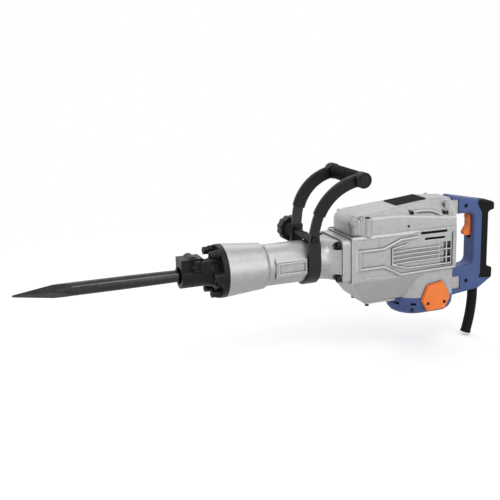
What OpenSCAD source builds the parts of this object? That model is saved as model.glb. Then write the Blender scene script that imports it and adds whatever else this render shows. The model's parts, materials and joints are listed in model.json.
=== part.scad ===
// Electric demolition hammer with a bull point, a swivelling side handle and a rear D handle.
// Millimetres. The hammer axis is the X axis and the tool holder's front face is at X = 0.
// +X runs to the rear handle, +Z is up, and the motor stands upright at the rear.

/* [Clearances] */
// Clearance of a seated or running fit, on the radius
fit = 0.05; // [0.02:0.01:0.1]
// Clearance between pieces that move past each other
gap = 0.3; // [0.2:0.05:0.5]

/* [Tool bit] */
// Length of the bit ahead of the tool holder
bit_reach = 334; // [220:1:420]
// Length of the four-sided point
point_len = 118; // [60:1:150]
// Diameter of the bit behind its point
bit_d = 27.5; // [25:0.5:29]
// Diameter of the bit where it enters the holder
bit_neck_d = 25; // [20:0.5:25.5]
// Across flats of the hexagonal collar
hex_af = 30; // [28:0.5:32]
// Length of the hexagonal collar
collar_len = 49; // [40:1:60]
// Diameter of the round shank
shank_d = 24; // [20:0.5:25]
// Length of the round shank
shank_len = 37; // [30:1:50]
// How far the bit can be pushed in
bit_travel = 16; // [8:1:20]

/* [Tool holder] */
// Length from the holder's front face to the barrel
holder_len = 92; // [86:1:100]
// Length of the holder's head
head_len = 58; // [54:1:60]
// Radius of the head's round underside
head_r = 27; // [25:0.5:29]
// Half width of the head's upper block
head_half = 21; // [20:0.5:24]
// Height of the head's flat top above the hammer axis
head_top = 36; // [34:0.5:40]
// Height of the ledge between the upper block and the round underside
head_ledge = 11; // [9:0.5:12.5]
// Distance of the stop pin behind the front face
pin_x = 31; // [28:1:34]
// Diameter of the stop pin
pin_d = 16; // [14:0.5:18]
// Radius of the flange
flange_r = 56.6; // [54:0.2:62]
// Thickness of the flange
flange_t = 12; // [9:0.5:15]
// Radius of the flange bolt circle
flange_bolt_circle = 47; // [45:0.5:48]
// Number of flange bolts
flange_bolt_count = 6; // [4:1:6]
// Shank diameter of the flange and barrel bolts
bolt_d = 10; // [8:0.5:11]

/* [Hammer mechanism] */
// Length of the impact bolt's nose
nose_len = 26; // [20:1:34]
// Diameter of the impact bolt's head
bolt_head_d = 40; // [34:1:46]
// Length of the impact bolt's head
bolt_head_len = 18; // [14:1:24]
// Length of the impact bolt's tail
bolt_tail_len = 15.5; // [12:0.5:20]
// Travel of the impact bolt
bolt_travel = 10; // [5:1:12]
// Thickness of the rubber damper ring
damper_t = 10; // [6:1:12]
// Outer radius of the tool sleeve
sleeve_r = 30; // [27:0.5:32]
// Cylinder bore
bore_d = 60; // [54:1:62]
// Wall of the cylinder
cylinder_wall = 6; // [4:0.5:7]
// Length of the striker's nose
striker_nose_len = 12; // [8:1:18]
// Length of the striker's body
striker_len = 62; // [50:1:72]
// Travel of the striker towards the bit
striker_forward = 10; // [5:1:14]
// Travel of the striker towards the piston
striker_back = 12; // [6:1:16]
// Thickness of the piston's crown
piston_crown = 10; // [7:1:14]
// Length of the piston's skirt
piston_skirt = 56; // [48:1:64]
// Wall of the piston's skirt
piston_wall = 5.2; // [4:0.2:5.4]
// Throw of the crank, half the piston's stroke
crank_throw = 13; // [10:0.5:13.5]
// Length of the connecting rod between its eyes
rod_len = 88; // [82:1:100]
// Diameter of the crank pin
crank_pin_d = 16; // [13:0.5:18]
// Diameter of the wrist pin
wrist_d = 9; // [7:0.5:10]
// Radius of the crank web
web_r = 30; // [28:0.5:34]

/* [Gears and motor] */
// Module of all gears
gear_m = 2; // [1.9:0.05:2.1]
// Teeth of the gear on the crankshaft
crank_teeth = 44; // [42:1:46]
// Teeth of the intermediate pinion
mid_pinion_teeth = 16; // [15:1:18]
// Teeth of the intermediate gear
mid_teeth = 36; // [34:1:38]
// Teeth of the armature pinion
rotor_teeth = 10; // [9:1:11]
// Diameter of the armature core
core_d = 57; // [52:1:60]
// Height of the armature core
core_h = 57; // [48:1:60]
// Outer diameter of the stator
stator_d = 96; // [92:1:100]
// Diameter of the armature shaft
shaft_d = 16; // [13:0.5:17]
// Diameter of the commutator
commutator_d = 36; // [32:1:40]
// Radius of the cooling fan
fan_r = 44; // [38:0.5:45]

/* [Casings] */
// Radius of the barrel's rear part, where the side handle clamps
case_r = 44.6; // [44:0.1:48]
// Distance from the barrel's rear face to the crank axis
joint_to_crank = 91; // [88:1:96]
// Thickness of the barrel's square rear flange
plate_t = 19.5; // [14:0.5:22]
// Half height of the barrel's square flange
plate_half_z = 48; // [47:0.5:50]
// Half width of the crankcase
body_half = 60; // [59:0.5:64]
// Wall thickness of the castings
wall = 6; // [4:0.5:7]
// Height of the joint between crankcase and gear cover
deck_z = 51; // [50:0.5:54]
// Thickness of the deck that carries the bearings
deck_t = 12; // [10:0.5:14]
// Depth of the crankcase below the hammer axis
sump_z = 102; // [100:1:110]
// Height of the crankcase's lower fold line below the axis
fold_z = 48.5; // [46:0.5:54]
// Height of the gear cover's ridge at its front
ridge_front = 93; // [92:0.5:98]
// Height of the gear cover's ridge above the motor
ridge_top = 114; // [112:0.5:120]
// Height of the gear cover's shoulder at its front
shoulder_front = 89; // [88:0.5:92]
// Height of the gear cover's shoulder at its rear
shoulder_rear = 74; // [72:0.5:82]
// Depth of the motor's tail cover
tail_depth = 41.5; // [38:0.5:46]

/* [Side handle] */
// Width of the clamp band
band_w = 28; // [24:1:32]
// Thickness of the strap
strap_t = 6; // [5:0.5:7]
// Width of the strap's arms
arm_w = 22; // [18:1:25]
// Distance of the clamp band's middle ahead of the barrel's rear face
band_back = 81; // [74:1:86]
// Height of the clamp bolt above the top of the barrel
clamp_rise = 9.6; // [9:0.2:16]
// Height where the arms bend outward
bend_z = 72; // [70:1:80]
// Outward flare of the arms
flare = 9; // [3:0.5:11]
// Radius of the arms' bend toward the rear, at the middle of the strap
arm_bend_r = 107; // [95:1:120]
// Diameter of the side grip
grip_d = 31; // [28:0.5:34]
// Diameter of the clamp knob
knob_d = 56; // [48:1:60]

/* [Rear handle] */
// Half width of the handle shells
handle_half = 21; // [19:0.5:24]
// Distance from the motor axis to the front of the grip
grip_front = 131; // [126:1:136]
// Depth of the blue part of the grip
grip_depth = 21; // [19:0.5:24]
// Thickness of the rubber back of the grip
pad_t = 20; // [16:0.5:24]
// How far the ends of the rubber back stand out behind its middle
pad_lobe = 15; // [10:0.5:18]
// Height of the handle's top at its front
handle_top = 112; // [108:0.5:116]
// Height of the finger gap's upper edge above the axis
gap_top = 68; // [66:0.5:72]
// Height of the finger gap's lower edge below the axis
gap_bottom = 54.6; // [50:0.2:58]
// Travel of the trigger in degrees
trigger_travel = 10; // [6:0.5:11]
// Diameter of the cord guard
guard_d = 23; // [20:0.5:26]
// Diameter of the cord passage
cord_d = 10; // [8:0.5:12]

/* [Hidden] */
$fn = 48;

// Colours as the object shows them
cast = [0.72, 0.73, 0.74];
black = [0.16, 0.16, 0.17];
steel = [0.55, 0.56, 0.58];
dark_steel = [0.28, 0.28, 0.30];
blue = [0.24, 0.33, 0.58];
orange = [0.96, 0.45, 0.20];
rubber = [0.10, 0.10, 0.11];
copper = [0.72, 0.42, 0.22];

// Places along the hammer axis, each from the piece ahead of it
pin_r = pin_d / 2;
bit_neck_r = bit_neck_d / 2;
pin_z = bit_neck_r + pin_r + 2 * gap;
x_collar = pin_x + pin_r + gap;
x_shank = x_collar + collar_len;
x_bit_end = x_shank + shank_len;
x_sleeve = x_shank + bit_travel + 2 * gap;
x_nose = x_bit_end + bit_travel + 2 * gap;
x_bolt_head = x_nose + nose_len;
x_bolt_tail = x_bolt_head + bolt_head_len;
x_bolt_end = x_bolt_tail + bolt_tail_len;
x_damper = x_bolt_tail + bolt_travel + gap;
x_cylinder = x_damper + damper_t;
x_striker = x_bolt_end + bolt_travel + striker_forward + gap;
x_striker_body = x_striker + striker_nose_len;
x_striker_end = x_striker_body + striker_len;
x_piston = x_striker_end + striker_back + 2 * gap;
x_floor = x_piston + piston_crown;
x_piston_end = x_floor + piston_skirt;
small_end_r = wrist_d / 2 + 4.5;
x_wrist = x_floor + 2 * crank_throw + 2 * gap + small_end_r;
x_crank_pin = x_wrist + rod_len;
x_crank = x_crank_pin + crank_throw;
x_mid = x_crank + gear_m * (crank_teeth + mid_pinion_teeth) / 2;
x_motor = x_mid + gear_m * (mid_teeth + rotor_teeth) / 2;
x_cylinder_end = x_piston_end + 2 * crank_throw + 8;
x_joint = x_crank - joint_to_crank;
x_back = x_motor + 61;
x_plate = x_joint - plate_t;

bolt_r = bolt_d / 2;
bolt_head_r = bolt_d * 0.8;
bolt_head_h = bolt_d;
boss_h = 8;
x_flange = holder_len - flange_t;
tail_r = 13;
bore_r = bore_d / 2;
cylinder_r = bore_r + cylinder_wall;
socket_af = hex_af + 2 * gap;

// Levels up the motor: parting plane, bearings, gears
deck_under = deck_z - deck_t;
z_crank_gear = deck_z + 4;
crank_gear_h = 14;
z_mid_gear = z_crank_gear + crank_gear_h + 4;
mid_gear_h = 12;
z_gear_top = z_mid_gear + mid_gear_h;
bearing_h = deck_t - 2;
z_deck_bearing = deck_under + 1;
z_cover_bearing = z_gear_top + 3;
z_shaft_top = z_cover_bearing + bearing_h - 2 * gap;
rod_h = 14;
web_h = 12;
z_web = rod_h / 2 + gap;
crank_journal_r = 12;
crank_top_r = 8;
mid_shaft_r = 7;
shaft_r = shaft_d / 2;
z_core = -core_h + 2;
z_commutator = -97;
commutator_h = 24;
z_brush = z_commutator + commutator_h / 2;
z_fan = 13;
tail_shaft_r = 6;
tail_bottom = -sump_z - tail_depth;
z_tail_bearing = tail_bottom + wall + 0.5;
tail_bearing_h = 9;

// Plan of the motor housing: a half circle in front of a square rear
tail_cx = x_motor - 17;
tail_rear = x_back - 1.5;

// Handles
band_x = x_joint - band_back;
strap_y = case_r + gap + strap_t / 2;
knob_r = knob_d / 2;
grip_x = x_motor + grip_front;
pad_x = grip_x + grip_depth;
trigger_x = grip_x + 5;
trigger_z = gap_top - 4;
guard_x = x_motor + 147;
guard_z = -109;
guard_bend_r = 330;
guard_sweep = 15;
clamp_z = case_r + clamp_rise;

// Shape helpers
function unit(v) = v / norm(v);
function turn(a) = a > 180 ? a - 360 : a < -180 ? a + 360 : a;

// Points of one corner, given as [x, y, radius], between its neighbours a and b
function corner_arc(a, p, b, n) =
    let (
        q = [p.x, p.y],
        u = unit([a.x, a.y] - q),
        v = unit([b.x, b.y] - q),
        h = acos(u * v) / 2,
        c = q + unit(u + v) * p.z / sin(h),
        s = q + u * p.z / tan(h) - c,
        e = q + v * p.z / tan(h) - c,
        a0 = atan2(s.y, s.x),
        sweep = turn(atan2(e.y, e.x) - a0)
    )
    [for (i = [0:n]) c + p.z * [cos(a0 + sweep * i / n), sin(a0 + sweep * i / n)]];

// An outline of [x, y, radius] corners with each corner rounded
function rounded(pts, n = 5) =
    let (k = len(pts))
    [for (i = [0:k - 1])
        each pts[i].z == 0
            ? [[pts[i].x, pts[i].y]]
            : corner_arc(pts[(i + k - 1) % k], pts[i], pts[(i + 1) % k], n)];

// A counter-clockwise outline of [x, y, radius] corners moved inward by d
function shrunk(pts, d) =
    let (k = len(pts))
    [for (i = [0:k - 1])
        let (
            p = [pts[i].x, pts[i].y],
            a = pts[(i + k - 1) % k],
            b = pts[(i + 1) % k],
            u = unit(p - [a.x, a.y]),
            v = unit([b.x, b.y] - p),
            m = [-u.y, u.x],
            n = [-v.y, v.x],
            q = p + (m + n) * d / (1 + m * n),
            convex = u.x * v.y - u.y * v.x > 0,
            r = pts[i].z
        )
        [q.x, q.y, r == 0 ? 0 : convex ? max(r - d, 1) : r + d]];

// A point ring between a circle (power 2) and a rounded rectangle (high power)
function squircle(half_y, half_z, power, n = 48) =
    [for (i = [0:n - 1])
        let (
            a = 360 * i / n,
            k = pow(pow(abs(cos(a)) / half_y, power) + pow(abs(sin(a)) / half_z, power), -1 / power)
        )
        [k * cos(a), k * sin(a)]];

function at_x(x, ring) = [for (p = ring) [x, p.x, p.y]];
function at_y(y, ring) = [for (p = ring) [p.x, -y, p.y]];
function at_z(z, ring) = [for (p = ring) [p.x, p.y, z]];

// A closed skin through rings of equal length
module skin(rings) {
    n = len(rings[0]);
    m = len(rings);
    first = [for (j = [0:n - 1]) j];
    last = [for (j = [n - 1:-1:0]) (m - 1) * n + j];
    sides = [for (i = [0:m - 2]) for (j = [0:n - 1])
        let (a = i * n + j, b = i * n + (j + 1) % n)
        each [[a, a + n, b + n], [a, b + n, b]]];
    polyhedron(points = [for (r = rings) each r], faces = concat([first], sides, [last]));
}

module rod_x(x0, x1, r) {
    translate([x0, 0, 0]) rotate([0, 90, 0]) cylinder(r = r, h = x1 - x0);
}

module rod_y(y0, y1, r) {
    translate([0, y1, 0]) rotate([90, 0, 0]) cylinder(r = r, h = y1 - y0);
}

module rod_z(z0, z1, r) {
    translate([0, 0, z0]) cylinder(r = r, h = z1 - z0);
}

module ring_z(z0, z1, r_in, r_out) {
    difference() {
        rod_z(z0, z1, r_out);
        rod_z(z0 - 1, z1 + 1, r_in);
    }
}

// A turned shape from an outline of [x, radius] points
module turned_x(outline) {
    rotate([0, 90, 0]) rotate_extrude() polygon([for (p = outline) [p.y, p.x]]);
}

module extrude_x(x0, x1) {
    translate([x0, 0, 0]) rotate([90, 0, 90]) linear_extrude(x1 - x0) children();
}

module extrude_y(y0, y1) {
    translate([0, y1, 0]) rotate([90, 0, 0]) linear_extrude(y1 - y0) children();
}

module extrude_z(z0, z1) {
    translate([0, 0, z0]) linear_extrude(z1 - z0) children();
}

module box(x0, x1, y0, y1, z0, z1) {
    translate([x0, y0, z0]) cube([x1 - x0, y1 - y0, z1 - z0]);
}

module both_sides() {
    children();
    mirror([0, 1, 0]) children();
}

module hexagon(af) {
    rotate(30) circle(d = af / cos(30), $fn = 6);
}

// Side of a bar along an open path, at distance d to the left of it
function path_side(path, d) =
    let (k = len(path))
    [for (i = [0:k - 1])
        let (
            u = unit(i == 0 ? path[1] - path[0] : path[i] - path[i - 1]),
            v = unit(i == k - 1 ? path[i] - path[i - 1] : path[i + 1] - path[i]),
            m = [-u.y, u.x],
            n = [-v.y, v.x]
        )
        path[i] + (m + n) * d / (1 + m * n)];

// A bar of width w along an open path
module stroke(path, w) {
    right = path_side(path, -w / 2);
    left = path_side(path, w / 2);
    polygon(concat(right, [for (i = [len(left) - 1:-1:0]) left[i]]));
}

// A socket screw along +X: its head ends at X = 0 and its shank runs on from there
module socket_screw(head_r, head_h, shank_r, shank_len) {
    difference() {
        rod_x(-head_h, 0, head_r);
        translate([-head_h - 1, 0, 0]) extrude_x(0, head_h * 0.6) hexagon(head_r);
    }
    rod_x(-0.01, shank_len, shank_r);
}

// Teeth round a gear: flank angles narrow from the root to the tip
function gear_outline(teeth, m) =
    let (
        pitch_r = teeth * m / 2,
        root_r = pitch_r - 1.25 * m,
        tip_r = pitch_r + 0.85 * m,
        step = 360 / teeth
    )
    [for (i = [0:teeth - 1])
        each [for (q = [[-0.33, root_r], [-0.2, pitch_r], [-0.09, tip_r],
                        [0.09, tip_r], [0.2, pitch_r], [0.33, root_r]])
            q.y * [cos((i + q.x) * step), sin((i + q.x) * step)]]];

// Turns a gear so that a gap between two teeth points to -X
function mesh_phase(teeth) = teeth % 2 == 0 ? 180 / teeth : 0;

module gear_body(teeth, h, bore_radius, phase = 0) {
    difference() {
        rotate(phase) linear_extrude(h) polygon(gear_outline(teeth, gear_m));
        rod_z(-1, h + 1, bore_radius);
    }
}

module bull_point_chisel() {
    color(dark_steel) {
        body_x = -bit_reach + point_len;
        bit_r = bit_d / 2;
        intersection() {
            rod_x(-bit_reach, body_x, bit_r);
            translate([-bit_reach, 0, 0]) rotate([0, 90, 0])
                cylinder(r1 = 2, r2 = bit_r * sqrt(2) * 1.02, h = point_len, $fn = 4);
        }
        turned_x([[body_x - 12, 0], [body_x - 12, bit_r * 0.6], [body_x, bit_r * 0.6], [body_x, bit_r],
            [body_x * 0.5, bit_r], [pin_x - pin_r - 4, bit_neck_r], [x_collar + 0.5, bit_neck_r],
            [x_collar + 0.5, 0]]);
        extrude_x(x_collar, x_shank) hexagon(hex_af);
        turned_x([[x_shank - 0.5, 0], [x_shank - 0.5, shank_d / 2], [x_bit_end - 2, shank_d / 2],
            [x_bit_end, shank_d / 2 - 2], [x_bit_end, 0]]);
    }
}

// Places children at the flange bolts, evenly on both sides of the top
module at_flange_bolts() {
    for (i = [0:flange_bolt_count - 1])
        rotate([(i + 0.5) * 360 / flange_bolt_count, 0, 0]) translate([0, 0, flange_bolt_circle]) children();
}

crest_r = 10.5;
crest_x = pin_x - 5.5;
crest_z = head_top - 5;
neck_r = head_r + 1;
head_slant = 11.5;

module holder_head() {
    difference() {
        union() {
            extrude_x(0, head_len) {
                intersection() {
                    circle(r = head_r);
                    translate([-head_r, -head_r]) square([2 * head_r, head_r + head_ledge]);
                }
                translate([-head_half, 0]) square([2 * head_half, head_top]);
            }
            translate([crest_x, 0, crest_z]) rod_y(-head_half, head_half, crest_r);
        }
        extrude_y(-head_half - 1, head_half + 1)
            polygon([[head_len - head_slant, head_top + 0.5], [head_len + 1, head_top + 0.5],
                [head_len + 1, head_top - head_slant - 1]]);
    }
}

module tool_holder() {
    color(black) difference() {
        union() {
            holder_head();
            turned_x([[head_len - 12, 0], [head_len - 12, head_r - 1], [head_len, neck_r],
                [x_flange - 12, neck_r + 2], [x_flange - 5, neck_r + 7], [x_flange, neck_r + 17],
                [x_flange, flange_r - 1.5], [x_flange + 1.5, flange_r], [holder_len, flange_r],
                [holder_len, sleeve_r - fit], [x_sleeve - gap, sleeve_r - fit], [x_sleeve - gap, 0]]);
            intersection() {
                at_flange_bolts() rod_x(x_flange - boss_h, x_flange + 1, bolt_head_r + 2);
                rod_x(x_flange - boss_h, x_flange + 1, flange_r);
            }
        }
        extrude_x(-1, x_sleeve + 1) hexagon(socket_af);
        rod_x(-1, 12, hex_af / 2 + 3.5);
        translate([pin_x, 0, pin_z]) rod_y(-head_r - 1, head_r + 1, pin_r + fit);
        at_flange_bolts() rod_x(0, holder_len + 1, bolt_r + fit);
        at_flange_bolts() rod_x(head_len, x_flange - boss_h, bolt_head_r + 1);
    }
}

lever_y = head_r + gap;
lever_half = 7.5;
lever_z0 = -8.5;
lever_z1 = 12.5;
lever_t = 8;
lever_grip_r = 11.7;
spigot_r = 4;
spigot_len = 4;

// Outline of the lever's block, moved inward
module lever_outline(inset) {
    polygon(rounded(shrunk([[-lever_half, lever_z0, 2], [lever_half, lever_z0, 2], [lever_half, lever_z1, 2],
        [-lever_half, lever_z1, 2]], inset)));
}

module stop_lever() {
    color(black) translate([pin_x, 0, pin_z]) difference() {
        union() {
            difference() {
                extrude_y(-lever_y - lever_t, -lever_y) lever_outline(0);
                extrude_y(-lever_y - lever_t - 1, -lever_y - lever_t + 2.5) lever_outline(3);
            }
            translate([lever_half + 8.3, 0, lever_z1 - lever_grip_r + 0.5]) difference() {
                rod_y(-lever_y - lever_t - 3, -lever_y, lever_grip_r);
                for (i = [0:17]) rotate([0, 20 * i, 0]) translate([lever_grip_r, 0, 0])
                    rod_y(-lever_y - lever_t - 4, -lever_y + 1, 1.2);
            }
        }
        rod_y(-lever_y - spigot_len - fit, -lever_y + 1, spigot_r + fit);
    }
}

// Cross pin that holds the bit's collar, with a flat that lets it pass
module stop_pin() {
    color(steel) translate([pin_x, 0, pin_z]) difference() {
        union() {
            rod_y(-lever_y + fit, head_half, pin_r);
            rod_y(-lever_y - spigot_len, -lever_y + 1, spigot_r);
        }
        box(-pin_r - 1, pin_r + 1, -head_half + 5, head_half - 5, pin_r - 5, pin_r + 1);
    }
}

module flange_bolts() {
    color(dark_steel) translate([x_flange - boss_h - 2, 0, 0]) at_flange_bolts()
        socket_screw(bolt_head_r, bolt_head_h, bolt_r, flange_t + boss_h + 22);
}

module flange_washers() {
    color(steel) at_flange_bolts() difference() {
        rod_x(x_flange - boss_h - 2, x_flange - boss_h, bolt_head_r + 0.6);
        rod_x(x_flange - boss_h - 3, x_flange - boss_h + 1, bolt_r + fit);
    }
}

// Four barrel bolts at the corners of the square flange
plate_half_y = body_half - 2;
plate_bolt_y = plate_half_y - 11;
plate_bolt_z = plate_half_z - 11;

module at_plate_bolts() {
    for (y = [-plate_bolt_y, plate_bolt_y]) for (z = [-plate_bolt_z, plate_bolt_z])
        translate([x_plate, y, z]) children();
}

x_flare = band_x + band_w / 2 + 16;
x_step = holder_len + 85;
step_r = case_r + 4.6;
pad_x0 = x_step + 20;
pad_x1 = band_x - band_w / 2 - 2;

module cylinder_case() {
    color(cast) difference() {
        union() {
            turned_x([[holder_len, 0], [holder_len, flange_r - 0.8], [holder_len + 1.5, flange_r],
                [x_step, step_r], [x_step + 8, case_r], [x_flare, case_r], [x_flare, 0]]);
            skin(concat([at_x(x_flare - 3, squircle(case_r - 3, case_r - 3, 2))],
                [for (t = [0, 0.25, 0.5, 0.75, 1])
                    at_x(x_flare + t * (x_plate + 1 - x_flare),
                        squircle(case_r - 0.15 + t * t * (plate_half_y - 4 - case_r),
                            case_r - 0.15 + t * t * (plate_half_z - 3 - case_r), 2 + 6 * t * t))]));
            extrude_x(x_plate, x_joint)
                polygon(rounded([[plate_half_y, -plate_half_z, 9], [plate_half_y, plate_half_z, 9],
                    [-plate_half_y, plate_half_z, 9], [-plate_half_y, -plate_half_z, 9]]));
            barrel_pad();
        }
        rod_x(holder_len - 1, x_cylinder + 0.01, sleeve_r + fit);
        rod_x(x_cylinder, x_joint + 1, cylinder_r + fit);
        translate([x_flange - boss_h, 0, 0]) at_flange_bolts()
            rod_x(0, flange_t + boss_h + 22, bolt_r + fit);
        at_plate_bolts() rod_x(-1, plate_t + 1, bolt_r + fit);
        at_plate_bolts() rod_x(-x_plate + x_flare, 0, bolt_head_r + 2.5);
        extrude_y(-case_r - 3, -case_r - 1)
            polygon(rounded([[pad_x0 + 6, -10, 2], [pad_x1 - 4, -10, 2], [pad_x1 - 4, 9, 2],
                [pad_x0 + 6, 9, 2]]));
    }
}

// Flat raised pad on the left side of the barrel
module barrel_pad() {
    intersection() {
        extrude_x(pad_x0, pad_x1)
            polygon([[0, 0], [-case_r + 9, 27], [-case_r - 2, 15], [-case_r - 2, -16], [-case_r + 9, -28]]);
        extrude_y(-case_r - 3, 0)
            polygon(rounded([[pad_x0, -30, 1], [pad_x1, -30, 1], [pad_x1, 30, 1], [pad_x0, 30, 1]]));
    }
}

module barrel_bolts() {
    color(dark_steel) at_plate_bolts() socket_screw(bolt_head_r, bolt_head_h, bolt_r, plate_t + 18);
}

module tool_sleeve() {
    color(steel) difference() {
        rod_x(x_sleeve, x_damper, sleeve_r);
        rod_x(x_sleeve - 1, x_bolt_head, shank_d / 2 + gap);
        rod_x(x_bolt_head - gap, x_damper + 1, bolt_head_d / 2 + gap);
    }
}

module impact_bolt() {
    color(steel) turned_x([[x_nose, 0], [x_nose, shank_d / 2 - 1], [x_nose + 1, shank_d / 2],
        [x_bolt_head, shank_d / 2], [x_bolt_head, bolt_head_d / 2], [x_bolt_tail, bolt_head_d / 2],
        [x_bolt_tail, tail_r], [x_bolt_end - 1, tail_r], [x_bolt_end, tail_r - 1], [x_bolt_end, 0]]);
}

module damper_ring() {
    color(rubber) difference() {
        rod_x(x_damper, x_cylinder, sleeve_r);
        rod_x(x_damper - 1, x_cylinder + 1, tail_r + gap);
    }
}

module cylinder_tube() {
    difference() {
        rod_x(x_cylinder, x_cylinder_end, cylinder_r);
        rod_x(x_cylinder - 1, x_cylinder_end + 1, bore_r);
    }
}

// A groove near the front of a sliding piece, and the ring that fills it
ring_w = 4;
ring_depth = 3;

module groove(x) {
    difference() {
        rod_x(x, x + ring_w, bore_r + 1);
        rod_x(x - 1, x + ring_w + 1, bore_r - ring_depth);
    }
}

module seal_ring(x) {
    difference() {
        rod_x(x + fit, x + ring_w - fit, bore_r - fit);
        rod_x(x - 1, x + ring_w + 1, bore_r - ring_depth + fit);
    }
}

x_striker_groove = x_striker_body + 18;
x_piston_groove = x_piston + 3;

module striker() {
    color(steel) difference() {
        turned_x([[x_striker, 0], [x_striker, tail_r - 1], [x_striker + 1, tail_r], [x_striker_body, tail_r],
            [x_striker_body, bore_r - fit - 2], [x_striker_body + 2, bore_r - fit],
            [x_striker_end, bore_r - fit], [x_striker_end, 0]]);
        groove(x_striker_groove);
    }
}

module striker_ring() {
    color(rubber) seal_ring(x_striker_groove);
}

module piston() {
    color(cast) difference() {
        rod_x(x_piston, x_piston_end, bore_r - fit);
        rod_x(x_floor, x_piston_end + 1, bore_r - fit - piston_wall);
        groove(x_piston_groove);
    }
}

module piston_ring() {
    color(rubber) seal_ring(x_piston_groove);
}

wrist_half = 13;

module wrist_pin() {
    color(steel) translate([x_wrist, 0, 0]) rod_z(-wrist_half, wrist_half, wrist_d / 2);
}

crank_pin_r = crank_pin_d / 2;

module connecting_rod() {
    color(dark_steel) difference() {
        union() {
            translate([x_crank_pin, 0, 0]) rod_z(-rod_h / 2, rod_h / 2, crank_pin_r + 5.5);
            translate([x_wrist, 0, 0]) rod_z(-rod_h / 2, rod_h / 2, small_end_r);
            extrude_z(-rod_h / 2 + 1, rod_h / 2 - 1)
                polygon([[x_wrist, -5.5], [x_crank_pin, -7.5], [x_crank_pin, 7.5], [x_wrist, 5.5]]);
        }
        translate([x_crank_pin, 0, 0]) rod_z(-rod_h, rod_h, crank_pin_r + fit);
        translate([x_wrist, 0, 0]) rod_z(-rod_h, rod_h, wrist_d / 2 + fit);
    }
}

module crankshaft() {
    color(steel) {
        translate([x_crank_pin, 0, 0]) rod_z(-rod_h / 2 - 2, z_web + 1, crank_pin_r);
        translate([x_crank, 0, 0]) {
            difference() {
                rod_z(z_web, z_web + web_h, web_r);
                translate([12, 0, 0]) both_sides()
                    box(-web_r, 0, -web_r - 1, -18, z_web - 1, z_web + web_h + 1);
            }
            rod_z(z_web + web_h - 0.01, z_crank_gear + crank_gear_h, crank_journal_r);
            rod_z(z_crank_gear + crank_gear_h - 0.01, z_shaft_top, crank_top_r);
        }
    }
}

module crank_gear() {
    color(dark_steel) translate([x_crank, 0, z_crank_gear]) difference() {
        gear_body(crank_teeth, crank_gear_h, crank_journal_r + fit);
        for (i = [0:5]) rotate(60 * i + 30) translate([27, 0, 0]) rod_z(-1, crank_gear_h + 1, 7);
    }
}

module intermediate_gear() {
    color(dark_steel) translate([x_mid, 0, 0]) {
        rod_z(z_deck_bearing, z_shaft_top, mid_shaft_r);
        translate([0, 0, z_crank_gear]) gear_body(mid_pinion_teeth, z_mid_gear - z_crank_gear + 0.01,
            mid_shaft_r - 1, mesh_phase(mid_pinion_teeth));
        translate([0, 0, z_mid_gear]) gear_body(mid_teeth, mid_gear_h, mid_shaft_r - 1);
    }
}

module armature_shaft() {
    color(steel) translate([x_motor, 0, 0]) {
        rod_z(z_commutator - 6, z_mid_gear + 0.01, shaft_r);
        rod_z(z_tail_bearing + 2 * gap, z_commutator - 5.99, tail_shaft_r);
        translate([0, 0, z_mid_gear]) rotate(mesh_phase(rotor_teeth))
            linear_extrude(mid_gear_h) polygon(gear_outline(rotor_teeth, gear_m));
    }
}

core_r = core_d / 2;

module armature_core() {
    color(dark_steel) translate([x_motor, 0, 0]) difference() {
        ring_z(z_core, z_core + core_h, shaft_r + fit, core_r);
        for (i = [0:11]) rotate(30 * i)
            box(core_r - 10, core_r + 1, -2, 2, z_core - 1, z_core + core_h + 1);
    }
}

module commutator() {
    color(copper) translate([x_motor, 0, 0])
        ring_z(z_commutator, z_commutator + commutator_h, shaft_r + fit, commutator_d / 2);
}

module cooling_fan() {
    color(black) translate([x_motor, 0, 0]) {
        ring_z(z_fan, z_fan + 3, shaft_r + fit, fan_r);
        ring_z(z_fan, z_fan + 16, shaft_r + fit, shaft_r + 5);
        for (i = [0:11]) rotate(30 * i)
            box(shaft_r + 4, fan_r - 0.5, -1.2, 1.2, z_fan + 2.9, z_fan + 16);
    }
}

// Stator ring with two windows for the field coils
stator_r = stator_d / 2;
stator_in = core_r + 1.5;
stator_h = core_h - 4;
z_stator = z_core + 2;
coil_r = stator_in + 9;
window_half = 20;

module sector_z(z0, z1, r_in, r_out, a0, a1) {
    translate([0, 0, z0]) rotate(a0) rotate_extrude(angle = a1 - a0)
        translate([r_in, 0]) square([r_out - r_in, z1 - z0]);
}

module stator_core() {
    color(steel) translate([x_motor, 0, 0]) difference() {
        ring_z(z_stator, z_stator + stator_h, stator_in, stator_r);
        for (a = [0, 180])
            sector_z(z_stator - 1, z_stator + stator_h + 1, stator_in - 1, coil_r + gap,
                a - window_half, a + window_half);
    }
}

module field_coils() {
    color(copper) translate([x_motor, 0, 0]) both_sides() difference() {
        sector_z(z_stator - 8, z_stator + stator_h + 8, stator_in + gap, coil_r, 2, 178);
        sector_z(z_stator - gap, z_stator + stator_h + gap, stator_in - 1, coil_r + 1,
            window_half - 1, 181 - window_half);
    }
}

// Bearings: two on each of the crankshaft, the intermediate shaft and the armature
crank_bearing_r = 22;
crank_top_bearing_r = 15;
mid_bearing_r = 13;
mid_top_bearing_r = 11;
rotor_bearing_r = 17;
tail_bearing_r = 13;

module bearing(x, z, h, r_in, r_out) {
    translate([x, 0, 0]) difference() {
        ring_z(z, z + h, r_in + fit, r_out - fit);
        for (side = [z - 1, z + h - 0.8])
            ring_z(side, side + 1.8, r_in + (r_out - r_in) * 0.3, r_in + (r_out - r_in) * 0.7);
    }
}

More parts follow.
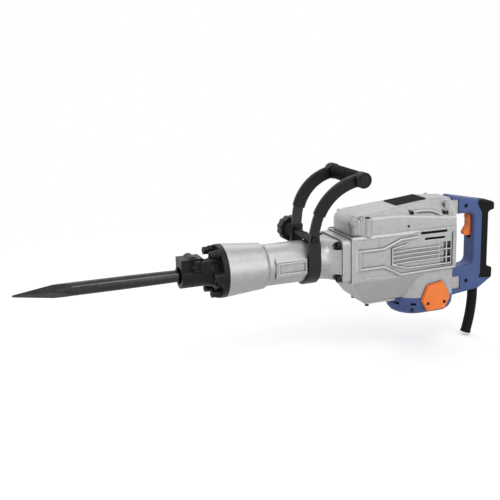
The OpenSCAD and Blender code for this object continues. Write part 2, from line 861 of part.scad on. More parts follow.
module ball_bearings() {
    color(steel) {
        bearing(x_crank, z_deck_bearing, bearing_h, crank_journal_r, crank_bearing_r);
        bearing(x_crank, z_cover_bearing, bearing_h, crank_top_r, crank_top_bearing_r);
        bearing(x_mid, z_deck_bearing, bearing_h, mid_shaft_r, mid_bearing_r);
        bearing(x_mid, z_cover_bearing, bearing_h, mid_shaft_r, mid_top_bearing_r);
        bearing(x_motor, z_deck_bearing, bearing_h, shaft_r, rotor_bearing_r);
        bearing(x_motor, z_tail_bearing, tail_bearing_h, tail_shaft_r, tail_bearing_r);
    }
}

brush_tube_r = 9;
brush_w = 7;
brush_y0 = commutator_d / 2 + gap;

module brush_holders() {
    color(copper) translate([x_motor, 0, z_brush]) both_sides() difference() {
        rod_y(-tail_half + 1, -brush_y0 - 4, brush_tube_r);
        box(-brush_w / 2 - fit, brush_w / 2 + fit, -body_half - 1, 0, -brush_w / 2 - fit, brush_w / 2 + fit);
    }
}

module carbon_brushes() {
    color(black) translate([x_motor, 0, z_brush]) both_sides() difference() {
        box(-brush_w / 2, brush_w / 2, -brush_y0 - 26, -brush_y0 + 1, -brush_w / 2, brush_w / 2);
        rod_z(-brush_w, brush_w, brush_y0);
    }
}

// Plan outline of the motor housing, moved inward
tail_half = body_half - 0.6;

function tail_plan(inset) =
    let (r = tail_half - inset)
    rounded([[tail_rear - inset, r, 14], [tail_cx - r, r, r - 0.01],
        [tail_cx - r, -r, r - 0.01], [tail_rear - inset, -r, 14]], 12);

chamber_x0 = x_joint + 24;
chamber_x1 = x_motor - stator_r - 10;
chamber_half = body_half - 10;
sump_x0 = x_joint + 44;
sump_x1 = tail_cx - body_half;
sump_half = 40;
cover_boss_x = x_joint + 39.5;
cover_boss_y = body_half - 4.5;
cover_screw_r = 3;
cover_head_r = cover_screw_r + 2.5;
boss_top = shoulder_front + 1;

// Gear cover screws as [x, y, height of the seat]
cover_screws = [[cover_boss_x, cover_boss_y, boss_top - 6],
    [x_mid - 4, body_half - 9.5, shoulder_front - 3],
    [x_back - 27.4, body_half - 10, shoulder_rear + 5.5]];

// Side view of the crankcase, with its curved front underside
module crankcase_side() {
    polygon(rounded([[x_joint, -fold_z - 2, 3], [x_joint + 36, -sump_z, 26], [tail_cx, -sump_z, 0],
        [tail_cx, -fold_z + 6, 0], [x_back, -fold_z + 6, 4], [x_back, deck_z, 0], [x_joint, deck_z, 0]], 8));
}

// End view of the crankcase: upright sides above the fold line, tapering below
module crankcase_end() {
    polygon(rounded([[body_half, deck_z, 0], [-body_half, deck_z, 0], [-body_half, -fold_z, 6],
        [-sump_half, -sump_z, 5], [sump_half, -sump_z, 5], [body_half, -fold_z, 6]], 4));
}

// Raised ribs of the side panel, drawn on the side plane
rib_w = 5;
rib_h = 2.6;
panel_x0 = x_joint + 20;
panel_mid = x_crank + 6;
panel_flare = x_crank + 27;
panel_x1 = x_back - 8;
rail_z = -42;

module panel_ribs() {
    stroke([[panel_x1, rail_z + 3], [panel_flare, rail_z], [x_crank - 14, -20], [panel_x0, -20],
        [panel_x0, 20], [x_crank - 14, 20], [panel_flare, 36], [panel_flare + 40, 38]], rib_w);
    stroke([[panel_x1, rail_z + 3], [panel_x1, 38]], rib_w);
    stroke([[panel_flare + 14, 24], [panel_mid, 18], [panel_mid, -18], [panel_flare + 14, -29],
        [panel_x1 - 8, -29]], 3);
    for (i = [0:3])
        stroke([[panel_mid, 10 - 9 * i], [panel_mid + 50, 12 - 9 * i], [panel_x1 - 36, 12 - 9 * i]], 2.4);
}

// Openings of the louvred panel: two long slots, and two columns of louvres at the rear
slot_x0 = x_motor - 30;
slot_x1 = x_motor + 37;
slot_depth = 7.5;
louvre_x0 = x_motor + 19;
louvre_pitch = 18.7;
louvre_h = 16.2;
louvre_z0 = -33;
louvre_rows = 3;
louvre_columns = [[0, 15, 4], [17.5, 10, 9]];

module panel_openings() {
    polygon([[slot_x0, 41.5], [slot_x1, 41.2], [slot_x1, 47.4], [slot_x0, 47.7]]);
    polygon([[slot_x0 + 10, 28.3], [slot_x1 - 6, 27.8], [slot_x1 - 6, 33.4], [slot_x0 + 10, 33.9]]);
}

module panel_louvres() {
    for (c = louvre_columns) for (r = [0:louvre_rows - 1])
        extrude_y(-body_half - rib_h - 1, -body_half + c.z)
            translate([louvre_x0 + c.x, louvre_z0 + r * louvre_pitch]) square([c.y, louvre_h]);
}

module crankcase() {
    color(cast) difference() {
        union() {
            intersection() {
                extrude_y(-body_half, body_half) crankcase_side();
                extrude_x(x_joint, x_back) crankcase_end();
            }
            skin([at_z(-sump_z, tail_plan(0)), at_z(-fold_z + 8, tail_plan(0))]);
            both_sides() extrude_y(-body_half - rib_h, -body_half + 1) panel_ribs();
        }
        rod_x(x_joint - 1, chamber_x0 + 1, cylinder_r + fit);
        box(chamber_x0, chamber_x1, -chamber_half, chamber_half, -fold_z + 4, deck_under);
        box(sump_x0 + 4, sump_x1 - 4, -sump_half + 12, sump_half - 12, -sump_z - 1, -fold_z + 5);
        translate([x_motor, 0, 0]) {
            rod_z(-sump_z - 1, z_stator + stator_h, stator_r + fit);
            rod_z(-sump_z - 1, deck_under, stator_r - 2);
            rod_z(deck_under - 1, deck_z + 1, rotor_bearing_r);
            translate([0, 0, z_brush]) rod_y(-body_half - 1, body_half + 1, brush_tube_r + fit);
        }
        translate([x_crank, 0, 0]) rod_z(deck_under - 1, deck_z + 1, crank_bearing_r);
        translate([x_mid, 0, 0]) rod_z(deck_under, deck_z + 1, mid_bearing_r);
        both_sides() {
            extrude_y(-body_half - rib_h - 1, -body_half + slot_depth) panel_openings();
            panel_louvres();
        }
        translate([plate_t, 0, 0]) at_plate_bolts() rod_x(-1, 20, bolt_r + fit);
        at_cover_screws() rod_z(deck_z - 22, deck_z + 1, cover_screw_r + fit);
        at_sump_screws() rod_z(-sump_z - 1, -sump_z + 14, 2.5 + fit);
        at_tail_screws() rod_z(-sump_z - 1, -sump_z + 20, tail_screw_r + fit);
    }
}

module at_cover_screws() {
    for (p = cover_screws) for (y = [-p.y, p.y]) translate([p.x, y, 0]) children();
}

// Gear cover: a skin whose shoulder falls and whose ridge rises towards the motor
cover_x0 = x_joint + 6;
cover_round = 26;
ridge_line = [[cover_x0, ridge_front], [x_motor + 5, ridge_top], [x_back + 10, ridge_top - 4]];
shoulder_line = [[cover_x0, shoulder_front], [x_crank + 17, shoulder_front], [x_back - 25, shoulder_rear],
    [x_back, shoulder_rear - 1]];

cover_half = body_half - 1.5;

function cover_ring(x, inset) =
    let (
        s = min(1, max(0, (x - cover_x0) / cover_round)),
        drop = 1 - sqrt(1 - (1 - s) * (1 - s)),
        half = cover_half - 22 * drop - inset,
        top = lookup(x, ridge_line) - 16 * drop - inset,
        shoulder = min(top - 3, lookup(x, shoulder_line) - 18 * drop - inset),
        half_top = half - 9 - 0.55 * (top - shoulder)
    )
    at_x(x, rounded([[half, deck_z, 0], [half, shoulder, 7], [half_top, top, 9],
        [-half_top, top, 9], [-half, shoulder, 7], [-half, deck_z, 0]], 4));

cover_stations = [for (s = [0, 0.06, 0.2, 0.5, 1]) cover_x0 + s * cover_round];

function cover_rings(inset) =
    [for (x = concat(cover_stations, [x_crank + 17, x_mid, x_motor + 5, x_back - 25, x_back]))
        cover_ring(x, inset)];

// A point of the slope between shoulder and ridge, at share f of the way up
function cover_slope(x, f) =
    let (
        top = lookup(x, ridge_line),
        shoulder = lookup(x, shoulder_line),
        half_top = cover_half - 9 - 0.55 * (top - shoulder)
    )
    [cover_half + f * (half_top - cover_half), shoulder + f * (top - shoulder)];

module gear_cover_hollow() {
    translate([wall, 0, -0.01])
        skin([for (x = [cover_x0, cover_x0 + 8, cover_x0 + cover_round, x_crank + 17, x_mid, x_motor,
            x_back - 2 * wall]) cover_ring(x, wall)]);
}

// Curved bead along the slope, from the middle screw to the rear one, as [x, share of the slope]
bead_line = [[x_mid + 2, 0.306], [x_mid + 13, 0.347], [x_mid + 22, 0.355], [x_mid + 39, 0.342],
    [x_mid + 47, 0.309], [x_mid + 54, 0.258], [x_mid + 61.5, 0.191], [x_mid + 69, 0.129]];
bead_r = 2.7;

module cover_bead() {
    skin([for (p = bead_line)
        let (c = cover_slope(p.x, p.y))
        at_x(p.x, [for (i = [0:11]) c + bead_r * [cos(30 * i), sin(30 * i)]])]);
}

// Bosses and posts on one side of the gear cover
module cover_posts() {
    translate([cover_boss_x, cover_boss_y, 0]) rod_z(deck_z, boss_top, 8);
    translate([cover_boss_x - 14.5, cover_boss_y - 1, 0]) rod_z(deck_z + 2, boss_top + 2, 3.8);
    translate([x_back - 16.4, body_half - 6.2, 0]) rod_z(deck_z + 9, shoulder_rear + 14, 4.5);
    translate([x_back - 19, body_half - 16.5, 0]) rod_z(shoulder_rear + 12, ridge_top - 3, 4);
    for (p = [cover_screws[1], cover_screws[2]])
        translate([p.x, p.y, 0]) rod_z(deck_z, p.z + 1, cover_head_r + 0.3);
    cover_bead();
}

module gear_cover() {
    color(cast) difference() {
        union() {
            difference() {
                skin(cover_rings(0));
                gear_cover_hollow();
            }
            intersection() {
                union() {
                    translate([x_crank, 0, 0]) rod_z(z_cover_bearing, ridge_top, crank_top_bearing_r + 5);
                    translate([x_mid, 0, 0]) rod_z(z_cover_bearing, ridge_top, mid_top_bearing_r + 5);
                }
                skin(cover_rings(1));
            }
            both_sides() cover_posts();
        }
        translate([x_crank, 0, z_cover_bearing]) rod_z(-1, bearing_h, crank_top_bearing_r);
        translate([x_mid, 0, z_cover_bearing]) rod_z(-1, bearing_h, mid_top_bearing_r);
        at_cover_screws() rod_z(deck_z - 1, ridge_top, cover_screw_r + fit);
        for (p = cover_screws) for (y = [-p.y, p.y])
            translate([p.x, y, 0]) rod_z(p.z, ridge_top, cover_head_r + 0.5);
    }
}

module gear_cover_screws() {
    color(dark_steel) for (p = cover_screws) for (y = [-p.y, p.y])
        translate([p.x, y, p.z]) rotate([0, 90, 0])
            socket_screw(cover_head_r, 5, cover_screw_r, p.z - deck_z + 20);
}

module at_sump_screws() {
    for (x = [sump_x0 + 6, sump_x1 - 6]) for (y = [-sump_half + 7, sump_half - 7])
        translate([x, y, 0]) children();
}

module sump_cover() {
    color(cast) difference() {
        extrude_z(-sump_z - 4, -sump_z)
            polygon(rounded([[sump_x0, -sump_half + 1, 6], [sump_x1, -sump_half + 1, 6],
                [sump_x1, sump_half - 1, 6], [sump_x0, sump_half - 1, 6]]));
        at_sump_screws() rod_z(-sump_z - 5, -sump_z + 1, 2.5 + fit);
    }
}

module sump_screws() {
    color(dark_steel) at_sump_screws() translate([0, 0, -sump_z - 4]) rotate([0, -90, 0])
        socket_screw(4.5, 5, 2.5, 16);
}

tail_screw_r = 2.5;
tail_screw_y = tail_half - 13.4;
tail_seat = tail_bottom + 0.4 * tail_depth;

module at_tail_screws() {
    for (y = [-tail_screw_y, tail_screw_y]) {
        translate([tail_cx - 24, y, 0]) children();
        translate([tail_rear - 11, y, 0]) children();
    }
}

module tail_cover() {
    color(blue) difference() {
        union() {
            difference() {
                skin([for (s = [[0, 18], [0.08, 11], [0.25, 5], [0.5, 1.2], [0.75, 0], [1, 0]])
                    at_z(tail_bottom + s.x * tail_depth, tail_plan(s.y))]);
                skin([for (s = [[0, 22], [0.3, 11], [0.6, 7.5], [1, wall]])
                    at_z(tail_bottom + wall + s.x * (tail_depth - wall + 0.1), tail_plan(s.y))]);
            }
            translate([x_motor, 0, 0])
                rod_z(tail_bottom + wall - 1, z_tail_bearing + tail_bearing_h, tail_bearing_r + 5);
            intersection() {
                at_tail_screws() rod_z(tail_bottom + 1, -sump_z, 7);
                skin([for (s = [[0.02, 20], [0.25, 6.5], [0.55, 2.6], [1, 1]])
                    at_z(tail_bottom + s.x * tail_depth, tail_plan(s.y))]);
            }
        }
        translate([x_motor, 0, 0]) rod_z(z_tail_bearing, -sump_z, tail_bearing_r);
        at_tail_screws() rod_z(tail_bottom - 1, -sump_z + 1, tail_screw_r + fit);
        at_tail_screws() rod_z(tail_bottom - 1, tail_seat, 5);
        for (a = [115, 152, 208, 245])
            translate([tail_cx, 0, -sump_z - 18]) rotate(a) box(body_half - 14, body_half + 1, -6, 6, 0, 5.5);
        at_brush_cover_screws() rod_y(-tail_half - 1, -tail_half + 5, 2 + fit);
    }
}

module tail_cover_screws() {
    color(dark_steel) at_tail_screws() translate([0, 0, tail_seat]) rotate([0, -90, 0])
        socket_screw(4.5, 4.5, tail_screw_r, -sump_z - tail_seat + 18);
}

// Bare plate on the sloping top of the gear cover
plate_len = 75.6;
plate_w = 58;

module name_plate() {
    slope = atan2(ridge_top - ridge_front, x_motor + 5 - cover_x0);
    x_mid_plate = x_motor - 37;
    color(black) translate([x_mid_plate, 0, lookup(x_mid_plate, ridge_line)]) rotate([0, -slope, 0])
        extrude_z(fit, 1.2)
            polygon(rounded([[-plate_len / 2, -plate_w / 2, 3], [plate_len / 2, -plate_w / 2, 3],
                [plate_len / 2, plate_w / 2, 3], [-plate_len / 2, plate_w / 2, 3]]));
}

// Six-sided brush covers on both sides of the motor
brush_cover_t = 6;
brush_screw_z = -sump_z - 14.5;
brush_seat_y = -tail_half - brush_cover_t + 2.5;

module brush_cover_outline(inset) {
    polygon(rounded(shrunk([[x_motor - 12.5, -75, 4], [x_motor - 27, -109, 4], [x_motor - 12, -134.5, 4],
        [x_motor + 32, -132, 4], [x_motor + 46, -107, 4], [x_motor + 26, -68, 4]], inset)));
}

module at_brush_cover_screws() {
    both_sides() for (x = [x_motor - 11.5, x_motor + 30]) translate([x, 0, brush_screw_z]) children();
}

module brush_covers() {
    color(orange) difference() {
        both_sides() {
            extrude_y(-tail_half - brush_cover_t + 2, -tail_half) brush_cover_outline(0);
            extrude_y(-tail_half - brush_cover_t, -tail_half) brush_cover_outline(2);
        }
        at_brush_cover_screws() {
            rod_y(-tail_half - brush_cover_t - 1, -tail_half + 1, 2 + fit);
            rod_y(-tail_half - brush_cover_t - 1, brush_seat_y, 4);
        }
    }
}

module brush_cover_screws() {
    color(dark_steel) at_brush_cover_screws() translate([0, brush_seat_y, 0])
        rotate([0, 0, 90]) socket_screw(3.5, 1.8, 2, -brush_seat_y - tail_half + 4);
}

// Outline of the D handle with its rubber back, without openings, counter-clockwise, as [x, z, radius]
mount_x = x_back + 29;
mount_low_x = x_back + 38;
mount_low_top = -gap_bottom - 22;
mount_low_bottom = mount_low_top - 30;
mount_top = handle_top - 10;
strip_x = pad_x + pad_t;
lobe_x = strip_x + pad_lobe;
lobe_top = handle_top - 23.5;
pad_bottom = -86.5;

handle_outline = [[x_back + gap, mount_low_top, 0], [x_back + 18, guard_z - 12.5, 6],
    [guard_x + 4, guard_z - 3.5, 8], [lobe_x - 1, pad_bottom - 3.5, 7], [lobe_x, lobe_top, 8],
    [x_back + 10, handle_top, 5], [x_back + gap, -gap_bottom, 0]];

finger_gap = [[x_back - 9, -gap_bottom, 1], [grip_x, -gap_bottom, 15], [grip_x, gap_top, 15],
    [x_back - 9, gap_top, 1]];

// The hollow behind the rubber back, between its two ends
pad_hollow = [[strip_x, -62, 6], [lobe_x + 25, -76, 1], [lobe_x + 25, 79, 1], [strip_x, 66, 6]];

// Side view of the room that the rubber back fills
pad_room = [[pad_x - 4, pad_bottom, 0], [lobe_x + 35, pad_bottom - 8, 0], [lobe_x + 35, handle_top + 20, 0],
    [pad_x - 5, handle_top + 20, 0], [pad_x - 5, 98, 0], [pad_x - 13, 91, 0], [pad_x - 7, 78, 0],
    [pad_x, 66, 0], [pad_x, pad_bottom + 11, 0]];

// Rounded edges of the handle: how far an outline steps back at each part of the half width
edge_side = [[0.72, 0], [0.86, 0.8], [0.95, 2.4], [1, 5]];
edge_steps = concat([for (i = [3:-1:0]) [-edge_side[i].x, edge_side[i].y]], edge_side);

module handle_block() {
    skin([for (s = edge_steps) at_y(s.x * handle_half, rounded(shrunk(handle_outline, s.y), 5))]);
}

// A cut right through the handle, wider at its rounded edges
module handle_cut(outline) {
    skin([for (s = concat([[-1.1, 5]], edge_steps, [[1.1, 5]]))
        at_y(s.x * handle_half, rounded(shrunk(outline, -s.y), 5))]);
}

// Both shells in one, without the rooms inside
module handle_shells() {
    side = handle_half + 1;
    difference() {
        handle_block();
        handle_cut(finger_gap);
        box(x_back - 9, mount_x, -side, side, gap_top - 1, mount_top);
        box(x_back - 9, mount_low_x, -side, side, mount_low_bottom, mount_low_top);
        extrude_y(-side, side) polygon([for (p = pad_room) [p.x, p.y]]);
    }
}

handle_screws_at = [[mount_x + 19, mount_top - 16], [mount_low_x + 16, -90]];

module at_handle_screws() {
    for (p = handle_screws_at) translate([p.x, 0, p.y]) children();
}

// Room inside the handle for trigger, switch and cord
module handle_rooms() {
    box(grip_x - 16, pad_x - 8, -9, 9, 6, trigger_z + 8);
    box(grip_x + 4, pad_x - 3, -12 - fit, 12 + fit, -46, 6.01);
    translate([guard_x, 0, 0]) rod_z(guard_z - 20, guard_z + 12, guard_d / 2 + fit);
    translate([guard_x, 0, 0]) rod_z(guard_z + 7, guard_z + 12, guard_d / 2 + 3);
    translate([trigger_x, 0, trigger_z]) rod_y(-14, 14, trigger_pin_r + fit);
}

module handle_shell_left() {
    color(blue) difference() {
        handle_shells();
        box(x_back - 20, lobe_x + 20, 0, handle_half + 1, -2 * handle_top, 2 * handle_top);
        handle_rooms();
        at_handle_screws() rod_y(-handle_half - 1, 1, 2.5 + fit);
        at_handle_screws() rod_y(-handle_half - 1, -handle_half + 6, 5);
    }
}

module handle_shell_right() {
    color(blue) difference() {
        handle_shells();
        box(x_back - 20, lobe_x + 20, -handle_half - 1, 0, -2 * handle_top, 2 * handle_top);
        handle_rooms();
        at_handle_screws() rod_y(-1, handle_half - 6, 2.5 + fit);
    }
}

module handle_screws() {
    color(dark_steel) at_handle_screws() translate([0, -handle_half + 6, 0]) rotate([0, 0, 90])
        socket_screw(4.6, 4, 2.5, 2 * handle_half - 14);
}

module handle_grip_pad() {
    color(rubber) difference() {
        intersection() {
            handle_block();
            extrude_y(-handle_half - 1, handle_half + 1)
                polygon([for (p = shrunk(pad_room, fit)) [p.x, p.y]]);
        }
        handle_cut(pad_hollow);
    }
}

module handle_mount_upper() {
    color(cast) extrude_y(-handle_half + 2, handle_half - 2)
        polygon(rounded([[x_back, gap_top, 0], [mount_x - fit, gap_top, 2],
            [mount_x - fit, mount_top - fit, 2], [x_back, mount_top - fit, 0]]));
}

module handle_mount_lower() {
    color(cast) extrude_y(-handle_half + 2, handle_half - 2)
        polygon(rounded([[tail_rear, mount_low_top - fit, 0], [tail_rear, mount_low_bottom + fit, 0],
            [mount_low_x - fit, mount_low_bottom + fit, 2], [mount_low_x - fit, mount_low_top - fit, 2]]));
}

trigger_pin_r = 2.5;

module trigger() {
    color(orange) translate([trigger_x, 0, trigger_z]) difference() {
        extrude_y(-7.5, 7.5)
            polygon(rounded([[-10, 2, 3], [-13, -9, 3], [-9.5, -19, 6], [-11, -28, 8], [-21, -43, 3],
                [-19, -50, 3], [-4, -51, 3], [-2, -12, 6], [6, -4, 4], [5, 5, 4]]));
        rod_y(-9, 9, trigger_pin_r + fit);
    }
}

module trigger_pin() {
    color(steel) translate([trigger_x, 0, trigger_z]) rod_y(-13.5, 13.5, trigger_pin_r);
}

module switch_body() {
    color(black) extrude_y(-12, 12)
        polygon(rounded([[grip_x + 4 + fit, -46 + fit, 1], [pad_x - 3 - fit, -46 + fit, 1],
            [pad_x - 3 - fit, 5, 1], [grip_x + 10, 5, 1], [grip_x + 4 + fit, -2, 1]]));
}

// Rubber cord guard: a flanged root in the handle, a bend and a straight end
guard_r = guard_d / 2;
guard_tail = 17;
guard_root = guard_z - 12;

// A ring of radius r square to the guard's bend after it has turned by a
function guard_ring(a, r, n = 32) =
    let (c = guard_bend_r * [cos(a) - 1, 0, -sin(a)])
    [for (i = [0:n - 1])
        let (k = 360 * i / n)
        [guard_x, 0, guard_root] + c + r * [cos(k) * cos(a), -sin(k), -cos(k) * sin(a)]];

function guard_straight(d, r) =
    [for (p = guard_ring(guard_sweep, r)) p - d * [sin(guard_sweep), 0, cos(guard_sweep)]];

function guard_up(d, r) = [for (p = guard_ring(0, r)) p + [0, 0, d]];

module guard_end() {
    translate([guard_x - guard_bend_r, 0, guard_root]) rotate([0, guard_sweep, 0])
        translate([guard_bend_r, 0, 0]) children();
}

module cord_guard() {
    color(rubber) difference() {
        union() {
            skin(concat([guard_up(20, guard_r)], [for (i = [0:6]) guard_ring(guard_sweep * i / 6, guard_r)],
                [guard_straight(guard_tail - 5, guard_r), guard_straight(guard_tail - 4, guard_r + 0.9),
                    guard_straight(guard_tail - 1, guard_r + 0.9), guard_straight(guard_tail, guard_r)]));
            translate([guard_x, 0, 0]) rod_z(guard_z + 7 + fit, guard_z + 12 - fit, guard_r + 3 - fit);
        }
        translate([guard_x, 0, 0]) rod_z(guard_root - 1, guard_z + 13, cord_d / 2);
        skin(concat([guard_up(3, cord_d / 2 - 0.2)],
            [for (i = [0:6]) guard_ring(guard_sweep * i / 6, cord_d / 2 - 0.2)],
            [guard_straight(4, cord_d / 2 - 0.2)]));
        guard_end() rod_z(-guard_tail - 1, 1, cord_d / 2);
    }
}

// The arms leave the band upright, flare outward and bend to the rear grip bar
arm_lean = 8;
arm_end_a = 85;
arm_start_z = 14;
arc_x = band_x + 3 + arm_bend_r * cos(arm_lean);
arc_z = arm_start_z - arm_bend_r * sin(arm_lean);
bar_x = arc_x - arm_bend_r * cos(arm_end_a);
bar_local_z = arc_z + arm_bend_r * sin(arm_end_a);
bar_z = bend_z + bar_local_z * cos(flare);
bar_y = strap_y + bar_local_z * sin(flare);
cover_w = arm_w + 5;
cover_t = strap_t + 6;
cover_a = 20;
cap_r = grip_d / 2 + 1.5;

// Moves a shape drawn upright at Y = 0 onto the flared plane of the right arm
module on_arm() {
    translate([0, strap_y, bend_z]) rotate([-flare, 0, 0]) children();
}

// Points along the arm's bend from angle a0 to a1, at radius r
function arm_arc(r, a0, a1, n = 14) =
    [for (i = [0:n])
        let (a = a0 + (a1 - a0) * i / n)
        [arc_x - r * cos(a), arc_z + r * sin(a), 0]];

// Points round the arm's rear end, from its upper to its lower side
function arm_end(r, from, to, n = 10) =
    [for (i = [0:n])
        let (a = from + (to - from) * i / n)
        [bar_x + r * cos(a), bar_local_z + r * sin(a), 0]];

end_a = 180 - arm_end_a;

arm_outline = concat([[band_x - arm_w / 2, -2, 0], [band_x + arm_w / 2, -2, 0]],
    arm_arc(arm_bend_r - arm_w / 2, arm_lean, arm_end_a - 1),
    arm_end(arm_w / 2, end_a - 170, end_a - 10),
    arm_arc(arm_bend_r + arm_w / 2, arm_end_a - 1, arm_lean));

// A rounded section of the arm cover, square to the bend at angle a
function cover_ring_at(a, w, t) =
    [for (p = rounded([[t / 2, -w / 2, 3.5], [t / 2, w / 2, 3.5], [-t / 2, w / 2, 3.5],
            [-t / 2, -w / 2, 3.5]], 4))
        [arc_x - (arm_bend_r + p.y) * cos(a), p.x, arc_z + (arm_bend_r + p.y) * sin(a)]];

rod_r = 6;

// End view of the clamp band: a half ring below, two straight legs above
function band_points(r, n = 32) =
    [for (i = [0:n])
        let (a = 180 + 180 * i / n)
        [r * cos(a), r * sin(a)]];

module clamp_strap() {
    color(black) difference() {
        union() {
            intersection() {
                extrude_x(band_x - band_w, band_x + band_w)
                    polygon(concat([[-strap_y - strap_t / 2, bend_z]], band_points(strap_y + strap_t / 2),
                        [[strap_y + strap_t / 2, bend_z], [strap_y - strap_t / 2, bend_z]],
                        [for (i = [32:-1:0]) band_points(strap_y - strap_t / 2)[i]],
                        [[-strap_y + strap_t / 2, bend_z]]));
                extrude_y(-2 * case_r, 2 * case_r)
                    polygon([[band_x - band_w / 2, -2 * case_r], [band_x + band_w / 2, -2 * case_r],
                        [band_x + band_w / 2, bend_z - 34], [band_x + arm_w / 2, bend_z - 16],
                        [band_x + arm_w / 2, bend_z + 1], [band_x - arm_w / 2, bend_z + 1],
                        [band_x - arm_w / 2, bend_z - 16], [band_x - band_w / 2, bend_z - 34]]);
            }
            both_sides() on_arm() extrude_y(-strap_t / 2, strap_t / 2)
                polygon([for (p = arm_outline) [p.x, p.y]]);
        }
        translate([band_x, 0, clamp_z]) rod_y(-strap_y * 2, strap_y * 2, clamp_bolt_r + fit);
        translate([bar_x, 0, bar_z]) rod_y(-bar_y * 2, bar_y * 2, rod_r + fit);
    }
}

clamp_bolt_r = 5;
strap_out = strap_y + strap_t / 2;
knob_y = strap_out + 20;
knob_t = 25;

module clamp_bolt() {
    color(dark_steel) translate([band_x, -strap_out, clamp_z]) rotate([0, 0, 90])
        socket_screw(8, 5, clamp_bolt_r, strap_out + knob_y + 8);
}

module clamp_spacer() {
    color(black) translate([band_x, 0, clamp_z]) difference() {
        union() {
            rod_y(-strap_y + strap_t / 2 + fit, strap_y - strap_t / 2 - fit, 8);
            for (y = [-30, 0, 30]) translate([0, y, 0]) rod_y(-4, 4, clamp_rise - 1);
        }
        rod_y(-strap_y, strap_y, clamp_bolt_r + fit);
    }
}

module clamp_knob() {
    color(black) translate([band_x, 0, clamp_z]) difference() {
        union() {
            translate([0, strap_out + gap, 0]) rotate([-90, 0, 0]) rotate_extrude()
                polygon([[0, 0], [10, 0], [10, 6], [14, 14], [18, knob_y - strap_out],
                    [0, knob_y - strap_out]]);
            translate([0, knob_y, 0]) rotate([-90, 0, 0]) rotate_extrude()
                polygon([[0, 0], [knob_r - 3, 0], [knob_r, 3], [knob_r, knob_t - 4], [knob_r - 5, knob_t],
                    [0, knob_t]]);
        }
        rod_y(0, knob_y + 12, clamp_bolt_r + fit);
        for (i = [0:11]) rotate([0, 30 * i, 0]) translate([knob_r + 2.5, 0, 0])
            rod_y(knob_y - 1, knob_y + knob_t + 1, 5);
    }
}

module arm_cover() {
    difference() {
        union() {
            skin([for (i = [0:12])
                cover_ring_at(cover_a + (arm_end_a - cover_a) * i / 12, cover_w, cover_t)]);
            translate([bar_x, 0, bar_local_z]) rotate([-90, 0, 0]) rotate_extrude()
                polygon([[0, -cover_t / 2], [cap_r - 3, -cover_t / 2], [cap_r - 0.8, -cover_t / 2 + 0.9],
                    [cap_r, -cover_t / 2 + 3], [cap_r, cover_t / 2 - 3], [cap_r - 0.8, cover_t / 2 - 0.9],
                    [cap_r - 3, cover_t / 2], [0, cover_t / 2]]);
        }
        extrude_y(-strap_t / 2 - fit, strap_t / 2 + fit)
            polygon([for (p = shrunk(arm_outline, -fit)) [p.x, p.y]]);
    }
}

module arm_covers() {
    color(black) difference() {
        both_sides() on_arm() arm_cover();
        translate([bar_x, 0, bar_z]) rod_y(-bar_y * 2, bar_y * 2, rod_r + fit);
    }
}

bar_in = bar_y - cover_t / 2 - cap_r * sin(flare) - 1;
bar_out = bar_y + cover_t / 2 + cap_r * sin(flare);
rib_pitch = 8;

module side_grip() {
    color(rubber) translate([bar_x, 0, bar_z]) difference() {
        union() {
            rod_y(-bar_in, bar_in, grip_d / 2 - 1.5);
            for (y = [-bar_in + 2:rib_pitch:bar_in - 6]) rod_y(y, y + rib_pitch / 2, grip_d / 2);
        }
        rod_y(-bar_y * 2, bar_y * 2, rod_r + fit);
    }
}

module grip_rod() {
    color(steel) translate([bar_x, 0, bar_z]) rod_y(-bar_out - 6, bar_out + 6, rod_r);
}

module grip_end_caps() {
    color(black) translate([bar_x, 0, bar_z]) both_sides() difference() {
        union() {
            rod_y(bar_out, bar_out + 7, cap_r);
            rod_y(bar_out, bar_out + 9, 10);
        }
        rod_y(0, bar_out + 6 + fit, rod_r + fit);
    }
}

bull_point_chisel();
tool_holder();
stop_lever();
stop_pin();
flange_bolts();
flange_washers();
cylinder_case();
barrel_bolts();
tool_sleeve();
impact_bolt();
damper_ring();
color(steel) cylinder_tube();  // cylinder
striker();
striker_ring();
piston();
piston_ring();
wrist_pin();
connecting_rod();
crankshaft();
crank_gear();
intermediate_gear();
armature_shaft();
armature_core();
commutator();
cooling_fan();
stator_core();
field_coils();
ball_bearings();
brush_holders();
carbon_brushes();
crankcase();
gear_cover();
gear_cover_screws();
sump_cover();
sump_screws();
tail_cover();
tail_cover_screws();
name_plate();
brush_covers();
brush_cover_screws();
handle_shell_left();
handle_shell_right();
handle_screws();
handle_grip_pad();
handle_mount_upper();
handle_mount_lower();
trigger();
trigger_pin();
switch_body();
cord_guard();
clamp_strap();
clamp_bolt();
clamp_spacer();
clamp_knob();
arm_covers();
side_grip();
grip_rod();
grip_end_caps();
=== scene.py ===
"""Looks of the electric demolition hammer: materials, thin trim on the castings, camera and studio."""
import json
import math

import bmesh
import bpy
from mathutils import Matrix, Vector


